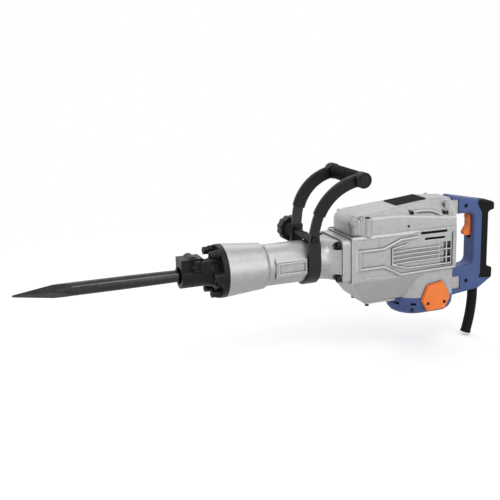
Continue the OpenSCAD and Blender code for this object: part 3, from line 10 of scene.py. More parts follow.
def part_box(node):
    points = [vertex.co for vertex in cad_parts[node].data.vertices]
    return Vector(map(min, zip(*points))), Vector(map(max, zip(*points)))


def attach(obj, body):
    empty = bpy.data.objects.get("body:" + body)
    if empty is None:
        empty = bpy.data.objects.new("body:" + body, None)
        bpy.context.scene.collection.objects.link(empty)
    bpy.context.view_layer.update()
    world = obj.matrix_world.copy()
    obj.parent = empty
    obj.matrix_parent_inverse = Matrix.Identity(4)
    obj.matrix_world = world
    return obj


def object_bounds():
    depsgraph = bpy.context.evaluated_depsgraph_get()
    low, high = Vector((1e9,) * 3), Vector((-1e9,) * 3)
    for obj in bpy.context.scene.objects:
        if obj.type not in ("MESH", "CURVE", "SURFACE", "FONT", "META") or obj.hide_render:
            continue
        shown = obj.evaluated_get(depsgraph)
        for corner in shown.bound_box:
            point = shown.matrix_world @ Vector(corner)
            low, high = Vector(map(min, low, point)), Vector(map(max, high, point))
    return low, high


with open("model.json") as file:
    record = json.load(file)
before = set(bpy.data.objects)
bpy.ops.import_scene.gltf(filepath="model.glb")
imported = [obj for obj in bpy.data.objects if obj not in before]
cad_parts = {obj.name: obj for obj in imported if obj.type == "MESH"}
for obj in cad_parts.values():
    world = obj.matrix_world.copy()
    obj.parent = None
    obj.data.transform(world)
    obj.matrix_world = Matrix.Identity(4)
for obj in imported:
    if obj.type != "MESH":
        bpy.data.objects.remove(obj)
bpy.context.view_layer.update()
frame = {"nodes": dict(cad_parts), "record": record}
record = frame["record"]

scene = bpy.context.scene
scene.view_settings.view_transform = "Standard"


# Camera: at the photograph's viewing angle, for a square picture
CAMERA_SENSOR = 36.0
CAMERA_LENS = 64.94
CAMERA_REACH = 100.0
CAMERA_PLACE = (-0.4759, -1.7213, 0.4959)
CAMERA_RIGHT = Vector((0.93595, -0.35109, -0.02726))
CAMERA_UP = Vector((0.11012, 0.21826, 0.96965))
CAMERA_AHEAD = Vector((0.33448, 0.91055, -0.24294))


def place_camera():
    data = bpy.data.cameras.new("camera")
    data.sensor_width = CAMERA_SENSOR
    data.lens = CAMERA_LENS
    data.clip_end = CAMERA_REACH
    obj = bpy.data.objects.new("camera", data)
    turn = Matrix((CAMERA_RIGHT, CAMERA_UP, -CAMERA_AHEAD)).transposed().to_4x4()
    obj.matrix_world = Matrix.Translation(CAMERA_PLACE) @ turn
    scene.collection.objects.link(obj)
    scene.camera = obj


place_camera()


# Shader nodes
class Nodes:
    """Short calls for building the node tree of a material or of the world."""

    def __init__(self, owner, output):
        owner.use_nodes = True
        self.tree = owner.node_tree
        self.tree.nodes.clear()
        self.out = self.add(output)
        self.coords = self.add("ShaderNodeTexCoord").outputs

    def add(self, kind, **settings):
        node = self.tree.nodes.new(kind)
        for key, value in settings.items():
            setattr(node, key, value)
        return node

    def put(self, socket, value):
        """Links an output to a socket, or sets a number, vector or colour on it."""
        if isinstance(value, bpy.types.NodeSocket):
            self.tree.links.new(value, socket)
        elif socket.type == "RGBA":
            socket.default_value = (*value, 1.0)
        else:
            socket.default_value = value

    def feed(self, node, **values):
        for key, value in values.items():
            self.put(node.inputs[key.replace("_", " ")], value)
        return node

    def noise(self, scale, detail, rough, stretch=None):
        vector = self.coords["Object"]
        if stretch:
            vector = self.feed(self.add("ShaderNodeMapping"), Vector=vector, Scale=stretch).outputs[0]
        node = self.add("ShaderNodeTexNoise")
        self.feed(node, Vector=vector, Scale=scale, Detail=detail, Roughness=rough)
        return node.outputs["Fac"]

    def ramp(self, value, low, high, to_low=0.0, to_high=1.0):
        node = self.add("ShaderNodeMapRange")
        self.feed(node, Value=value, From_Min=low, From_Max=high, To_Min=to_low, To_Max=to_high)
        return node.outputs[0]

    def math(self, kind, a, b):
        node = self.add("ShaderNodeMath", operation=kind)
        self.put(node.inputs[0], a)
        self.put(node.inputs[1], b)
        return node.outputs[0]

    def mix(self, factor, a, b):
        """A mix of two colours. Sockets 6 and 7 are the colour inputs, output 2 the colour."""
        node = self.add("ShaderNodeMix", data_type="RGBA")
        for index, value in ((0, factor), (6, a), (7, b)):
            self.put(node.inputs[index], value)
        return node.outputs[2]

    def mix_shaders(self, factor, a, b):
        node = self.add("ShaderNodeMixShader")
        for index, value in enumerate((factor, a, b)):
            self.put(node.inputs[index], value)
        return node.outputs[0]

    def rounded_normal(self, radius):
        return self.feed(self.add("ShaderNodeBevel", samples=4), Radius=radius).outputs[0]

    def edges(self, radius, low=0.86, high=0.985):
        """1 on sharp edges, 0 on flat surfaces."""
        dot = self.add("ShaderNodeVectorMath", operation="DOT_PRODUCT")
        self.put(dot.inputs[0], self.rounded_normal(radius))
        self.put(dot.inputs[1], self.add("ShaderNodeNewGeometry").outputs["Normal"])
        return self.ramp(dot.outputs["Value"], low, high, 1.0, 0.0)

    def hollows(self, distance, low, high):
        """1 deep inside slots and corners, 0 on open surfaces."""
        node = self.feed(self.add("ShaderNodeAmbientOcclusion", samples=6), Distance=distance)
        return self.ramp(node.outputs["AO"], low, high, 1.0, 0.0)

    def bump(self, height, strength, distance, normal):
        node = self.add("ShaderNodeBump")
        self.feed(node, Height=height, Strength=strength, Distance=distance, Normal=normal)
        return node.outputs[0]

    def principled(self, **values):
        node = self.feed(self.add("ShaderNodeBsdfPrincipled"), **values)
        self.put(self.out.inputs[0], node.outputs[0])


def new_material(name):
    material = bpy.data.materials.new(name)
    return material, Nodes(material, "ShaderNodeOutputMaterial")


def tint(colour, share):
    """A colour times a share, for a darker or lighter one."""
    return tuple(min(1.0, c * share) for c in colour)


def finish_metal(name, base, rough, metallic, grain, grain_depth, wear_and_highlight=None, wear_and_highlight_amount=0.0,
                 wear_and_highlight_reach=0.0012, radius=0.0008, mottle=0.06, streak=None, specular=0.5, painted_shade=None):
    """Metal or painted metal: mottled colour, fine grain, lighter edges that are partly wear and partly
    painted highlight, and painted shade in hollows.
    """
    material, n = new_material(name)
    patch = n.noise(85.0, 5.0, 0.65)
    fine = n.noise(grain, 2.0, 0.6, streak)
    colour = n.mix(n.ramp(patch, 0.32, 0.68), tint(base, 1 - 2.2 * mottle), tint(base, 1 + 1.6 * mottle))
    # Lighter edges, partly real wear and partly painted highlight: worn paint on the dark finishes, a
    # painted highlight along the edges of the cast aluminium
    if wear_and_highlight:
        edge_patches = n.ramp(n.noise(240.0, 4.0, 0.65), 0.3, 0.5, 0.35, 1.0)
        worn_and_lit_edge = n.math("MULTIPLY", n.edges(wear_and_highlight_reach), edge_patches)
        colour = n.mix(n.math("MULTIPLY", worn_and_lit_edge, wear_and_highlight_amount), colour, wear_and_highlight)
    # Painted shade: the colour turns darker in hollows, creases and corners where shade falls
    if painted_shade:
        amount, reach = painted_shade
        painted_shade_mask = n.math("MULTIPLY", n.hollows(reach, 0.42, 0.93), amount)
        colour = n.mix(painted_shade_mask, colour, tint(base, 0.1))
    roughness = n.math("ADD", n.ramp(patch, 0.3, 0.7, rough - 0.05, rough + 0.05),
                       n.ramp(fine, 0.3, 0.7, -0.04, 0.04))
    normal = n.bump(fine, 0.35, grain_depth, n.rounded_normal(radius))
    n.principled(Base_Color=colour, Roughness=roughness, Metallic=metallic,
                 Specular_IOR_Level=specular, Normal=normal)
    return material


def finish_plastic(name, base, rough, grain, grain_depth, specular, rub_and_highlight, rub_and_highlight_amount, radius=0.0009,
                   seam=False, shade=0.6):
    """Moulded plastic or rubber: fine grain, lighter edges that are partly rubbed and partly painted
    highlight, painted shade in corners, a seam in the middle plane.
    """
    material, n = new_material(name)
    patch = n.noise(22.0, 3.0, 0.55)
    fine = n.noise(grain, 1.5, 0.5)
    colour = n.mix(n.ramp(patch, 0.3, 0.7), tint(base, 0.92), tint(base, 1.07))
    # Lighter edges, partly rubbed plastic and partly painted highlight
    worn_and_lit_edge = n.math("MULTIPLY", n.edges(0.0016), n.ramp(n.noise(180.0, 4.0, 0.6), 0.4, 0.65))
    colour = n.mix(n.math("MULTIPLY", worn_and_lit_edge, rub_and_highlight_amount), colour, rub_and_highlight)
    # Painted shade: darker in corners and hollows where shade falls
    corner = n.math("MULTIPLY", n.hollows(0.012, 0.3, 0.9), shade)
    colour = n.mix(corner, colour, tint(base, 0.25))
    if seam:
        place = n.feed(n.add("ShaderNodeSeparateXYZ"), Vector=n.coords["Object"])
        line = n.ramp(n.math("ABSOLUTE", place.outputs["Y"], 0.0), 0.0003, 0.0007, 1.0, 0.0)
        colour = n.mix(n.math("MULTIPLY", line, 0.7), colour, tint(base, 0.15))
    roughness = n.ramp(patch, 0.3, 0.7, rough - 0.05, rough + 0.05)
    normal = n.bump(fine, 0.3, grain_depth, n.rounded_normal(radius))
    n.principled(Base_Color=colour, Roughness=roughness, Metallic=0.0, Specular_IOR_Level=specular,
                 Normal=normal)
    return material


METALS = {
    # The cast aluminium's near-white edges are a painted highlight
    "cast_aluminium": dict(
        base=(0.44, 0.442, 0.446), rough=0.36, metallic=0.75, grain=900.0, grain_depth=0.00025,
        # The last setting paints shade into the casting's hollows and creases
        wear_and_highlight=(0.95, 0.95, 0.95), wear_and_highlight_amount=0.9, wear_and_highlight_reach=0.0022, mottle=0.04, painted_shade=(1.0, 0.007)),
    "piston_aluminium": dict(
        base=(0.60, 0.61, 0.62), rough=0.3, metallic=1.0, grain=600.0, grain_depth=0.00005,
        streak=(1.0, 0.1, 0.1)),
    "black_paint": dict(
        base=(0.009, 0.009, 0.0095), rough=0.4, metallic=0.0, grain=1100.0, grain_depth=0.0001,
        wear_and_highlight=(0.08, 0.08, 0.082), wear_and_highlight_amount=0.5, specular=0.2),
    "bare_steel": dict(
        base=(0.46, 0.465, 0.475), rough=0.32, metallic=1.0, grain=700.0, grain_depth=0.00004,
        streak=(1.0, 0.12, 0.12)),
    "dark_steel": dict(
        base=(0.05, 0.05, 0.052), rough=0.2, metallic=1.0, grain=500.0, grain_depth=0.00008,
        wear_and_highlight=(0.26, 0.26, 0.27), wear_and_highlight_amount=0.5, streak=(0.25, 1.0, 1.0), mottle=0.1),
    "black_screws": dict(
        base=(0.010, 0.010, 0.0105), rough=0.36, metallic=0.0, grain=900.0, grain_depth=0.00004,
        wear_and_highlight=(0.09, 0.09, 0.092), wear_and_highlight_amount=0.6, wear_and_highlight_reach=0.0008, radius=0.0004, specular=0.22,
        # The last setting paints shade into the hollows round the screws
        painted_shade=(0.9, 0.006)),
    "copper": dict(
        base=(0.62, 0.34, 0.18), rough=0.35, metallic=1.0, grain=500.0, grain_depth=0.00004),
    # Two black-painted pieces with a surface of their own: the glossy strap and the satin plate
    "strap_paint": dict(
        base=(0.009, 0.009, 0.0095), rough=0.34, metallic=0.0, grain=1100.0, grain_depth=0.00006,
        wear_and_highlight=(0.1, 0.1, 0.102), wear_and_highlight_amount=0.5, specular=0.34),
    "plate_paint": dict(
        base=(0.007, 0.007, 0.0075), rough=0.62, metallic=0.0, grain=1400.0, grain_depth=0.00003,
        wear_and_highlight=(0.08, 0.08, 0.08), wear_and_highlight_amount=0.4, specular=0.04),
}

PLASTICS = {
    "blue_plastic": dict(
        base=(0.07, 0.108, 0.27), rough=0.44, grain=1400.0, grain_depth=0.00012, specular=0.25,
        rub_and_highlight=(0.15, 0.2, 0.4), rub_and_highlight_amount=0.5, seam=True),
    "orange_plastic": dict(
        base=(0.98, 0.235, 0.052), rough=0.42, grain=1400.0, grain_depth=0.00008, specular=0.25,
        rub_and_highlight=(1.0, 0.4, 0.17), rub_and_highlight_amount=0.4, shade=0.2),
    "black_plastic": dict(
        base=(0.010, 0.010, 0.0105), rough=0.44, grain=1300.0, grain_depth=0.00015, specular=0.24,
        rub_and_highlight=(0.1, 0.1, 0.102), rub_and_highlight_amount=0.7),
    "black_rubber": dict(
        base=(0.007, 0.007, 0.0075), rough=0.6, grain=900.0, grain_depth=0.0002, specular=0.12,
        rub_and_highlight=(0.04, 0.04, 0.04), rub_and_highlight_amount=0.6),
}

MATERIALS = {name: finish_metal(name, **values) for name, values in METALS.items()}
MATERIALS.update({name: finish_plastic(name, **values) for name, values in PLASTICS.items()})

# Nodes that don't look like the rest of their slot
OWN_SURFACE = {"clamp_strap": "strap_paint", "name_plate": "plate_paint", "flange_washers": "black_screws"}

SLOT_OF = {entry["node"]: entry["material_slot"] for entry in record["subparts"]}

for node, obj in frame["nodes"].items():
    obj.data.materials.clear()
    obj.data.materials.append(MATERIALS[OWN_SURFACE.get(node, SLOT_OF[node])])


# Small pieces on the castings, in millimetres in the CAD frame
MM = 0.001
SIDES = (-1, 1)


def add_piece(name, parts, body, slot):
    """One mesh piece made of (verts, faces) parts, which moves with a body."""
    verts, faces = [], []
    for part_verts, part_faces in parts:
        start = len(verts)
        verts += [tuple(MM * c for c in v) for v in part_verts]
        faces += [tuple(i + start for i in face) for face in part_faces]
    mesh = bpy.data.meshes.new(name)
    mesh.from_pydata(verts, [], faces)
    solid = bmesh.new()
    solid.from_mesh(mesh)
    bmesh.ops.recalc_face_normals(solid, faces=solid.faces)
    solid.to_mesh(mesh)
    solid.free()
    obj = bpy.data.objects.new(name, mesh)
    scene.collection.objects.link(obj)
    mesh.materials.append(MATERIALS[slot])
    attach(obj, body)


def loft(rings, closed=False):
    """A solid through rings of equal length, with flat ends or with the last ring joined to the first."""
    count = len(rings[0])
    verts = [point for ring in rings for point in ring]
    faces = []
    if not closed:
        faces += [tuple(range(count)), tuple(range(len(verts) - count, len(verts)))]
    for r in range(len(rings) if closed else len(rings) - 1):
        here, there = r * count, (r + 1) % len(rings) * count
        for i in range(count):
            k = (i + 1) % count
            faces.append((here + i, here + k, there + k, there + i))
    return verts, faces


def circle(radius, sides):
    """Points of a circle in a plane."""
    angles = [2 * math.pi * i / sides for i in range(sides)]
    return [(radius * math.cos(a), radius * math.sin(a)) for a in angles]


def turned_y(centre, profile, sides=32):
    """A solid turned round an axis parallel to Y, from an open profile of (y, radius) points."""
    x, y, z = centre
    return loft([[(x + u, y + out, z + v) for u, v in circle(radius, sides)] for out, radius in profile])


def ring_x(centre, profile, sides=48):
    """A ring round an axis parallel to X, from a closed profile of (x, radius) points."""
    x, y, z = centre
    return loft([[(x + out, y + radius * u, z + radius * v) for out, radius in profile]
                 for u, v in circle(1.0, sides)], closed=True)


def prism_y(outline, y0, y1):
    """A prism between two Y planes, from an outline of (x, z) points."""
    return loft([[(x, y, z) for x, z in outline] for y in (y0, y1)])


def frame_y(outline, inner, y_base, y_top, chamfer):
    """A flat frame between two outlines of equal length, with chamfered edges on its outer face."""
    def shrink(points, amount):
        cx = sum(x for x, z in points) / len(points)
        cz = sum(z for x, z in points) / len(points)
        return [(x - math.copysign(amount, x - cx), z - math.copysign(amount, z - cz)) for x, z in points]

    step = y_top + math.copysign(chamfer, y_base - y_top)
    rings = [(outline, y_base), (outline, step), (shrink(outline, chamfer), y_top),
             (shrink(inner, -chamfer), y_top), (inner, step), (inner, y_base)]
    return loft([[(x, y, z) for x, z in points] for points, y in rings], closed=True)


# How far a piece's base sinks into what carries it
SINK = 0.05
# A bead's end runs on past its path and tapers: (distance, share of width, share of height)
BEAD_END = ((0.3, 1.0, 1.0), (0.8, 0.88, 0.86), (1.2, 0.66, 0.55))
# The sharpest corner whose mitre isn't cut short, as the cosine of half its turn
MITRE_LIMIT = 0.4


def bead(path, half, crown, wall, side):
    """A round-topped bead along a path of (x, z) points on the casting's side, with mitred corners."""
    shoulder = wall + 0.3 * (crown - wall)
    rise = crown - shoulder
    flank = [(1.0, -SINK), (1.0, wall), (0.9, shoulder), (0.62, shoulder + 0.55 * rise),
             (0.3, shoulder + 0.9 * rise)]
    section = [(-half * u, v) for u, v in flank] + [(0.0, crown)]
    section += [(half * u, v) for u, v in reversed(flank)]
    points = [Vector(p) for p in path]
    last = len(points) - 1
    stations = []
    for i, point in enumerate(points):
        before = (point - points[i - 1]).normalized() if i else (points[1] - point).normalized()
        after = (points[i + 1] - point).normalized() if i < last else before
        along = (before + after).normalized()
        across = Vector((-along.y, along.x)) / max(MITRE_LIMIT, along.dot(after))
        if 0 < i < last:
            stations.append((point, across, 1.0, 1.0))
        else:
            out = along if i else -along
            ends = [(point + reach * out, across, width, height) for reach, width, height in BEAD_END]
            stations += ends if i else reversed(ends)
    rings = []
    for point, across, width, height in stations:
        rings.append([(point.x + width * u * across.x,
                       side * (BODY_HALF + (height * v if v > 0 else v)),
                       point.y + width * u * across.y) for u, v in section])
    return loft(rings)


def tube(path, radius, sides=16):
    """A round bar along a path of points."""
    points = [Vector(p) for p in path]
    rings = []
    for i, point in enumerate(points):
        along = (points[min(i + 1, len(points) - 1)] - points[max(i - 1, 0)]).normalized()
        level = along.cross(Vector((0.0, 0.0, 1.0))).normalized()
        upright = level.cross(along)
        rings.append([tuple(point + u * level + v * upright) for u, v in circle(radius, sides)])
    return loft(rings)


def smooth(path, steps=4):
    """A curve through a path of points (Catmull-Rom)."""
    points = [Vector(p) for p in path]
    points = [2 * points[0] - points[1]] + points + [2 * points[-1] - points[-2]]
    curve = []
    for a, b, c, d in zip(points, points[1:], points[2:], points[3:]):
        for k in range(steps):
            t = k / steps
            curve.append(0.5 * (2 * b + (c - a) * t + (2 * a - 5 * b + 4 * c - d) * t ** 2
                                + (3 * b - a - 3 * c + d) * t ** 3))
    return curve + [points[-2]]


def rounded_box(x0, z0, x1, z1, radius, steps=5):
    """Outline of a rectangle with round corners."""
    points = []
    for cx, cz, start in ((x1 - radius, z0 + radius, -90), (x1 - radius, z1 - radius, 0),
                          (x0 + radius, z1 - radius, 90), (x0 + radius, z0 + radius, 180)):
        for i in range(steps + 1):
            a = math.radians(start + 90 * i / steps)
            points.append((cx + radius * math.cos(a), cz + radius * math.sin(a)))
    return points


def node_box(node):
    """A CAD node's lowest and highest corners in millimetres."""
    low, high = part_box(node)
    return [c / MM for c in low], [c / MM for c in high]


# Crankcase: half width, top face, and the stations of its side panel
BODY_HALF = 60.0
DECK_Z = 51.0
PANEL_FRONT = 383.9
PANEL_NECK = 440.9
PANEL_MID = 460.9
PANEL_FLARE = 481.9
PANEL_REAR = 613.9

# Beads as (half width, height, height of the straight wall)
OUTLINE_BEAD = (2.8, 3.7, 2.3)
INNER_BEAD = (1.75, 3.2, 2.45)
SLAT_BEAD = (1.45, 3.1, 2.45)
CAST_LINE = (0.8, 0.9, 0.4)
CAST_STUB = (1.5, 1.3, 0.6)

# Long slots as (front, rear, bottom, top, fall towards the rear), and the louvres in them
SLOTS = ((530.9, 597.9, 41.5, 47.7, 0.3), (540.9, 591.9, 28.3, 33.9, 0.5))
SLOT_GAP = 0.25
SLOT_BACK = 2.2
LOUVRE_THICK = 1.2
LOUVRE_BAYS = 7
BAR_HALF = 0.5
BAR_PROUD = 0.7
BAR_GAP = 0.1

# Deck strip as (x, lower edge, how far it stands out)
DECK_STRIP = ((366.5, 45.4, 1.4), (508.0, 45.4, 1.4), (522.0, 48.4, 1.1), (619.0, 48.4, 1.1))

# Slope in front of the panel: front, rear, half height, rise
SLOPE_FRONT = 374.4
SLOPE_REAR = 382.0
SLOPE_HALF = 22.4
SLOPE_RISE = 2.5

# Gear cover: half width, and the line of the rib on its slope with the slope's outward direction
COVER_HALF = 58.5
RIB_LINE = ((521.5, 50.9, 91.6), (527.9, 50.1, 91.9), (536.9, 49.5, 91.7), (545.4, 49.2, 91.3),
            (553.9, 49.1, 90.6), (561.9, 49.7, 89.1), (568.9, 51.0, 86.8), (576.4, 52.9, 83.5),
            (582.5, 54.4, 81.0))
RIB_OUT = (0.0, 0.77, 0.64)
RIB_RADIUS = 2.9
RIB_LIFT = 1.5
RIB_END_LIFT = -2.2

# Barrel: face of its flat pad, seat of the square flange's bolts and the radius of their heads
PAD_FACE = -46.6
FLANGE_SEAT = 344.4
BOLT_HEAD_RADIUS = 8.0
WASHER = ((-1.6, 8.1), (-1.6, 9.3), (-1.2, 9.7), (-0.4, 9.7), (0.0, 9.5), (0.0, 8.1))

# End caps of the side grip: depth of the face behind the cap's highest point
CAP_FACE_DEPTH = 2.0


def slot_shade_and_louvres():
    """Black plates with louvre bars in the two long slots on each side of the motor; the black plate is
    painted shade, a dark sheet in place of the shade inside the open slots.
    """
    parts = []
    for front, rear, bottom, top, fall in SLOTS:
        x0, x1, z0, z1 = front + SLOT_GAP, rear - SLOT_GAP, bottom + SLOT_GAP, top - SLOT_GAP
        for side in SIDES:
            back = side * (BODY_HALF - SLOT_BACK)
            face = back + side * LOUVRE_THICK
            plate = [(x0, z0), (x1, z0 - fall), (x1, z1 - fall), (x0, z1)]
            parts.append(prism_y(plate, back, face))
            for i in range(1, LOUVRE_BAYS):
                t = i / LOUVRE_BAYS
                x = x0 + t * (x1 - x0)
                low, high = z0 - t * fall + BAR_GAP, z1 - t * fall - BAR_GAP
                bar = [(x - BAR_HALF, low), (x + BAR_HALF, low), (x + BAR_HALF, high), (x - BAR_HALF, high)]
                parts.append(prism_y(bar, face - side * 2 * SINK, face + side * BAR_PROUD))
    return parts


def panel_beads():
    """Round tops on the ribs of both side panels."""
    outline = [(PANEL_REAR, 38.0), (PANEL_REAR, -39.0), (PANEL_FLARE, -42.0), (PANEL_NECK, -20.0),
               (PANEL_FRONT, -20.0), (PANEL_FRONT, 20.0), (PANEL_NECK, 20.0), (PANEL_FLARE, 36.0),
               (PANEL_FLARE + 40.0, 38.0)]
    inner = [(PANEL_FLARE + 14.0, 24.0), (PANEL_MID, 18.0), (PANEL_MID, -18.0),
             (PANEL_FLARE + 14.0, -29.0), (PANEL_REAR - 8.0, -29.0)]
    parts = []
    for side in SIDES:
        parts += [bead(outline, *OUTLINE_BEAD, side), bead(inner, *INNER_BEAD, side)]
        for z in (10.0, 1.0, -8.0, -17.0):
            slat = [(PANEL_MID, z), (PANEL_MID + 50.0, z + 2.0), (PANEL_REAR - 36.0, z + 2.0)]
            parts.append(bead(slat, *SLAT_BEAD, side))
    return parts


def casting_lines():
    """Low cast lines round the side panel, and the slope in front of it."""
    low = [(384.5, -22.0), (395.0, -41.0), (470.0, -44.2)]
    high = [(395.4, 47.0), (386.5, 29.0), (385.2, 22.0)]
    stub = [(430.0, 44.0), (430.0, 23.0)]
    parts = []
    for side in SIDES:
        parts += [bead(low, *CAST_LINE, side), bead(high, *CAST_LINE, side), bead(stub, *CAST_STUB, side)]
        base, top = side * (BODY_HALF - SINK), side * (BODY_HALF + SLOPE_RISE)
        parts.append(loft([[(SLOPE_FRONT, base, z), (SLOPE_REAR, base, z), (SLOPE_REAR, top, z)]
                           for z in (-SLOPE_HALF, SLOPE_HALF)]))
    return parts


def deck_strip():
    """Sloped strip along the top edge of the crankcase."""
    parts = []
    for side in SIDES:
        rings = []
        for x, low, out in DECK_STRIP:
            section = [(BODY_HALF - SINK, low), (BODY_HALF + out, low + 1.0), (BODY_HALF + out, low + 2.0),
                       (BODY_HALF - 0.9, DECK_Z + 1.1), (COVER_HALF - SINK, DECK_Z + 1.3),
                       (COVER_HALF - SINK, DECK_Z - SINK)]
            rings.append([(x, side * y, z) for y, z in section])
        parts.append(loft(rings))
    return parts


def pad_frame():
    """Raised frame round the bare field on the barrel's pad."""
    outer = rounded_box(200.5, -13.0, 265.0, 12.0, 2.5)
    inner = rounded_box(203.0, -10.5, 262.5, 9.5, 1.5)
    return [frame_y(outer, inner, PAD_FACE + SINK, PAD_FACE - 1.1, 0.35)]


def barrel_washers():
    """A washer under each of the four bolts of the square flange."""
    low, high = node_box("barrel_bolts")
    return [ring_x((FLANGE_SEAT, y, z), WASHER)
            for y in (low[1] + BOLT_HEAD_RADIUS, high[1] - BOLT_HEAD_RADIUS)
            for z in (low[2] + BOLT_HEAD_RADIUS, high[2] - BOLT_HEAD_RADIUS)]


def cover_ribs():
    """Curved rib on each slope of the gear cover, between the middle and the rear screw."""
    parts = []
    for side in SIDES:
        path = []
        for i, point in enumerate(RIB_LINE):
            lift = RIB_LIFT if 0 < i < len(RIB_LINE) - 1 else RIB_END_LIFT
            x, y, z = (c + lift * o for c, o in zip(point, RIB_OUT))
            path.append((x, side * y, z))
        parts.append(tube(smooth(path), RIB_RADIUS))
    return parts


def cap_rims():
    """Raised rim round the face of each end cap of the side grip."""
    low, high = node_box("grip_end_caps")
    radius = 0.5 * (high[0] - low[0])
    x, z = 0.5 * (low[0] + high[0]), 0.5 * (low[2] + high[2])
    section = [(-0.1, radius - 3.4), (1.1, radius - 3.1), (1.5, radius - 2.5), (1.5, radius - 1.2),
               (1.1, radius - 0.5), (-0.1, radius - 0.15)]
    parts = []
    for face, side in ((low[1] + CAP_FACE_DEPTH, -1), (high[1] - CAP_FACE_DEPTH, 1)):
        # A ring round X, turned so that its axis is Y
        verts, faces = ring_x((side * face, x, z), section, 64)
        parts.append(([(across, side * out, up) for out, across, up in verts], faces))
    return parts


def cover_line():
    """Cast line that leads to the plug, on the gear cover's left side."""
    line = [(474.8, 62.6), (497.5, 62.9), (497.5, 64.1), (474.8, 63.8)]
    return [prism_y(line, -COVER_HALF + SINK, -COVER_HALF - 0.7)]


def cover_plug():
    """Small plug on the gear cover's left side."""
    return [turned_y((501.3, -COVER_HALF, 63.4), [(SINK, 2.6), (-0.9, 2.6), (-1.3, 2.2)])]


# The black plates in the slots are painted shade: dark rubber in place of the shade inside the open vents
add_piece("slot_shade_and_louvres", slot_shade_and_louvres(), "hammer", "black_rubber")
add_piece("panel_beads", panel_beads(), "hammer", "cast_aluminium")
add_piece("casting_lines", casting_lines(), "hammer", "cast_aluminium")
add_piece("deck_strip", deck_strip(), "hammer", "cast_aluminium")
add_piece("barrel_pad_frame", pad_frame(), "hammer", "cast_aluminium")
add_piece("barrel_washers", barrel_washers(), "hammer", "bare_steel")
add_piece("cover_ribs", cover_ribs(), "hammer", "cast_aluminium")
add_piece("cap_rims", cap_rims(), "side_handle", "black_plastic")
add_piece("cover_line", cover_line(), "hammer", "cast_aluminium")
add_piece("cover_plug", cover_plug(), "hammer", "black_screws")


# Floor, world and lamps
FLOOR_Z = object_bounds()[0][2] - 0.004
FLOOR_HALF = 14.0
FLOOR_COLOUR = (0.82, 0.82, 0.82)
# Light that the floor gives off, as the camera and as reflections see it
FLOOR_GLOW_CAMERA = 0.36
FLOOR_GLOW_GLOSSY = 0.1
# The floor turns into the white of the background between these distances from its centre
FLOOR_CENTRE = (0.25, 0.0, FLOOR_Z)
FLOOR_NEAR = 0.7
FLOOR_FAR = 1.5
# Studio light: bright above, grey towards the floor
STUDIO_STRENGTH = 0.76
STUDIO_LOW = (0.30, (0.24, 0.24, 0.25, 1.0))
STUDIO_HIGH = (0.85, (0.95, 0.95, 0.95, 1.0))


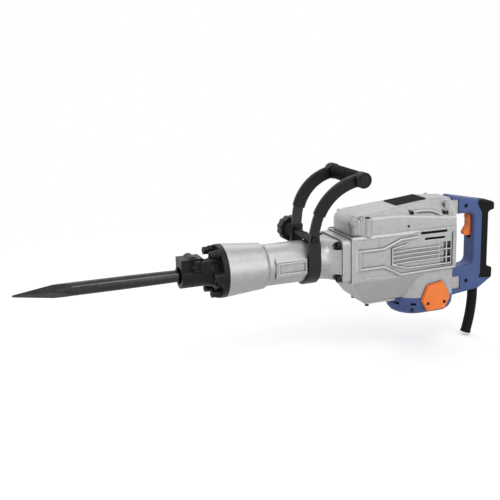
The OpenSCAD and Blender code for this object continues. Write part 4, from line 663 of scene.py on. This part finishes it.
def make_floor():
    """A plain pale floor that keeps the object's shadow."""
    mesh = bpy.data.meshes.new("floor")
    corners = [(-FLOOR_HALF, -FLOOR_HALF), (FLOOR_HALF, -FLOOR_HALF), (FLOOR_HALF, FLOOR_HALF),
               (-FLOOR_HALF, FLOOR_HALF)]
    mesh.from_pydata([(x, y, FLOOR_Z) for x, y in corners], [], [(0, 1, 2, 3)])
    obj = bpy.data.objects.new("floor", mesh)
    scene.collection.objects.link(obj)
    material, n = new_material("floor")
    path = n.add("ShaderNodeLightPath").outputs
    matt = n.feed(n.add("ShaderNodeBsdfDiffuse"), Color=FLOOR_COLOUR)
    level = n.math("MAXIMUM", n.math("MULTIPLY", path["Is Camera Ray"], FLOOR_GLOW_CAMERA),
                   n.math("MULTIPLY", path["Is Glossy Ray"], FLOOR_GLOW_GLOSSY))
    glow = n.feed(n.add("ShaderNodeEmission"), Strength=level)
    near = n.add("ShaderNodeAddShader")
    n.put(near.inputs[0], matt.outputs[0])
    n.put(near.inputs[1], glow.outputs[0])
    seen = n.math("MAXIMUM", path["Is Camera Ray"], path["Is Glossy Ray"])
    far = n.feed(n.add("ShaderNodeEmission"), Strength=seen)
    reach = n.add("ShaderNodeVectorMath", operation="DISTANCE")
    n.put(reach.inputs[0], n.coords["Object"])
    n.put(reach.inputs[1], FLOOR_CENTRE)
    away = n.math("MULTIPLY", n.ramp(reach.outputs["Value"], FLOOR_NEAR, FLOOR_FAR), seen)
    n.put(n.out.inputs[0], n.mix_shaders(away, near.outputs[0], far.outputs[0]))
    mesh.materials.append(material)


def make_world():
    """White for the camera and for reflections, soft studio light for the rest."""
    world = bpy.data.worlds.new("studio")
    scene.world = world
    n = Nodes(world, "ShaderNodeOutputWorld")
    path = n.add("ShaderNodeLightPath").outputs
    clear = n.math("MAXIMUM", path["Is Glossy Ray"], path["Is Transmission Ray"])
    seen = n.math("MAXIMUM", path["Is Camera Ray"], clear)
    white = n.feed(n.add("ShaderNodeBackground"), Color=(1.0, 1.0, 1.0), Strength=1.0)
    place = n.feed(n.add("ShaderNodeSeparateXYZ"), Vector=n.coords["Generated"])
    grey = n.add("ShaderNodeValToRGB")
    for element, (position, colour) in zip(grey.color_ramp.elements, (STUDIO_LOW, STUDIO_HIGH)):
        element.position = position
        element.color = colour
    n.put(grey.inputs[0], n.ramp(place.outputs["Z"], -1.0, 1.0))
    studio = n.feed(n.add("ShaderNodeBackground"), Color=grey.outputs[0], Strength=STUDIO_STRENGTH)
    n.put(n.out.inputs[0], n.mix_shaders(seen, studio.outputs[0], white.outputs[0]))


def lamp(name, place, aim, size, power):
    data = bpy.data.lights.new(name, "AREA")
    data.shape = "RECTANGLE"
    data.size, data.size_y = size
    data.energy = power
    obj = bpy.data.objects.new(name, data)
    obj.location = place
    obj.rotation_euler = (Vector(aim) - Vector(place)).to_track_quat("-Z", "Y").to_euler()
    scene.collection.objects.link(obj)


make_floor()
make_world()
lamp("key", (0.7, -1.0, 2.0), (0.35, 0.0, 0.0), (1.8, 1.0), 4.5)
lamp("front", (0.22, -1.0, 1.15), (-0.05, 0.0, 0.0), (0.7, 0.3), 3.0)
lamp("fill", (1.5, -1.9, 0.7), (0.5, 0.0, 0.0), (2.2, 1.6), 11.5)
lamp("back", (0.4, 1.4, 1.6), (0.4, 0.0, 0.1), (2.0, 1.2), 7.0)
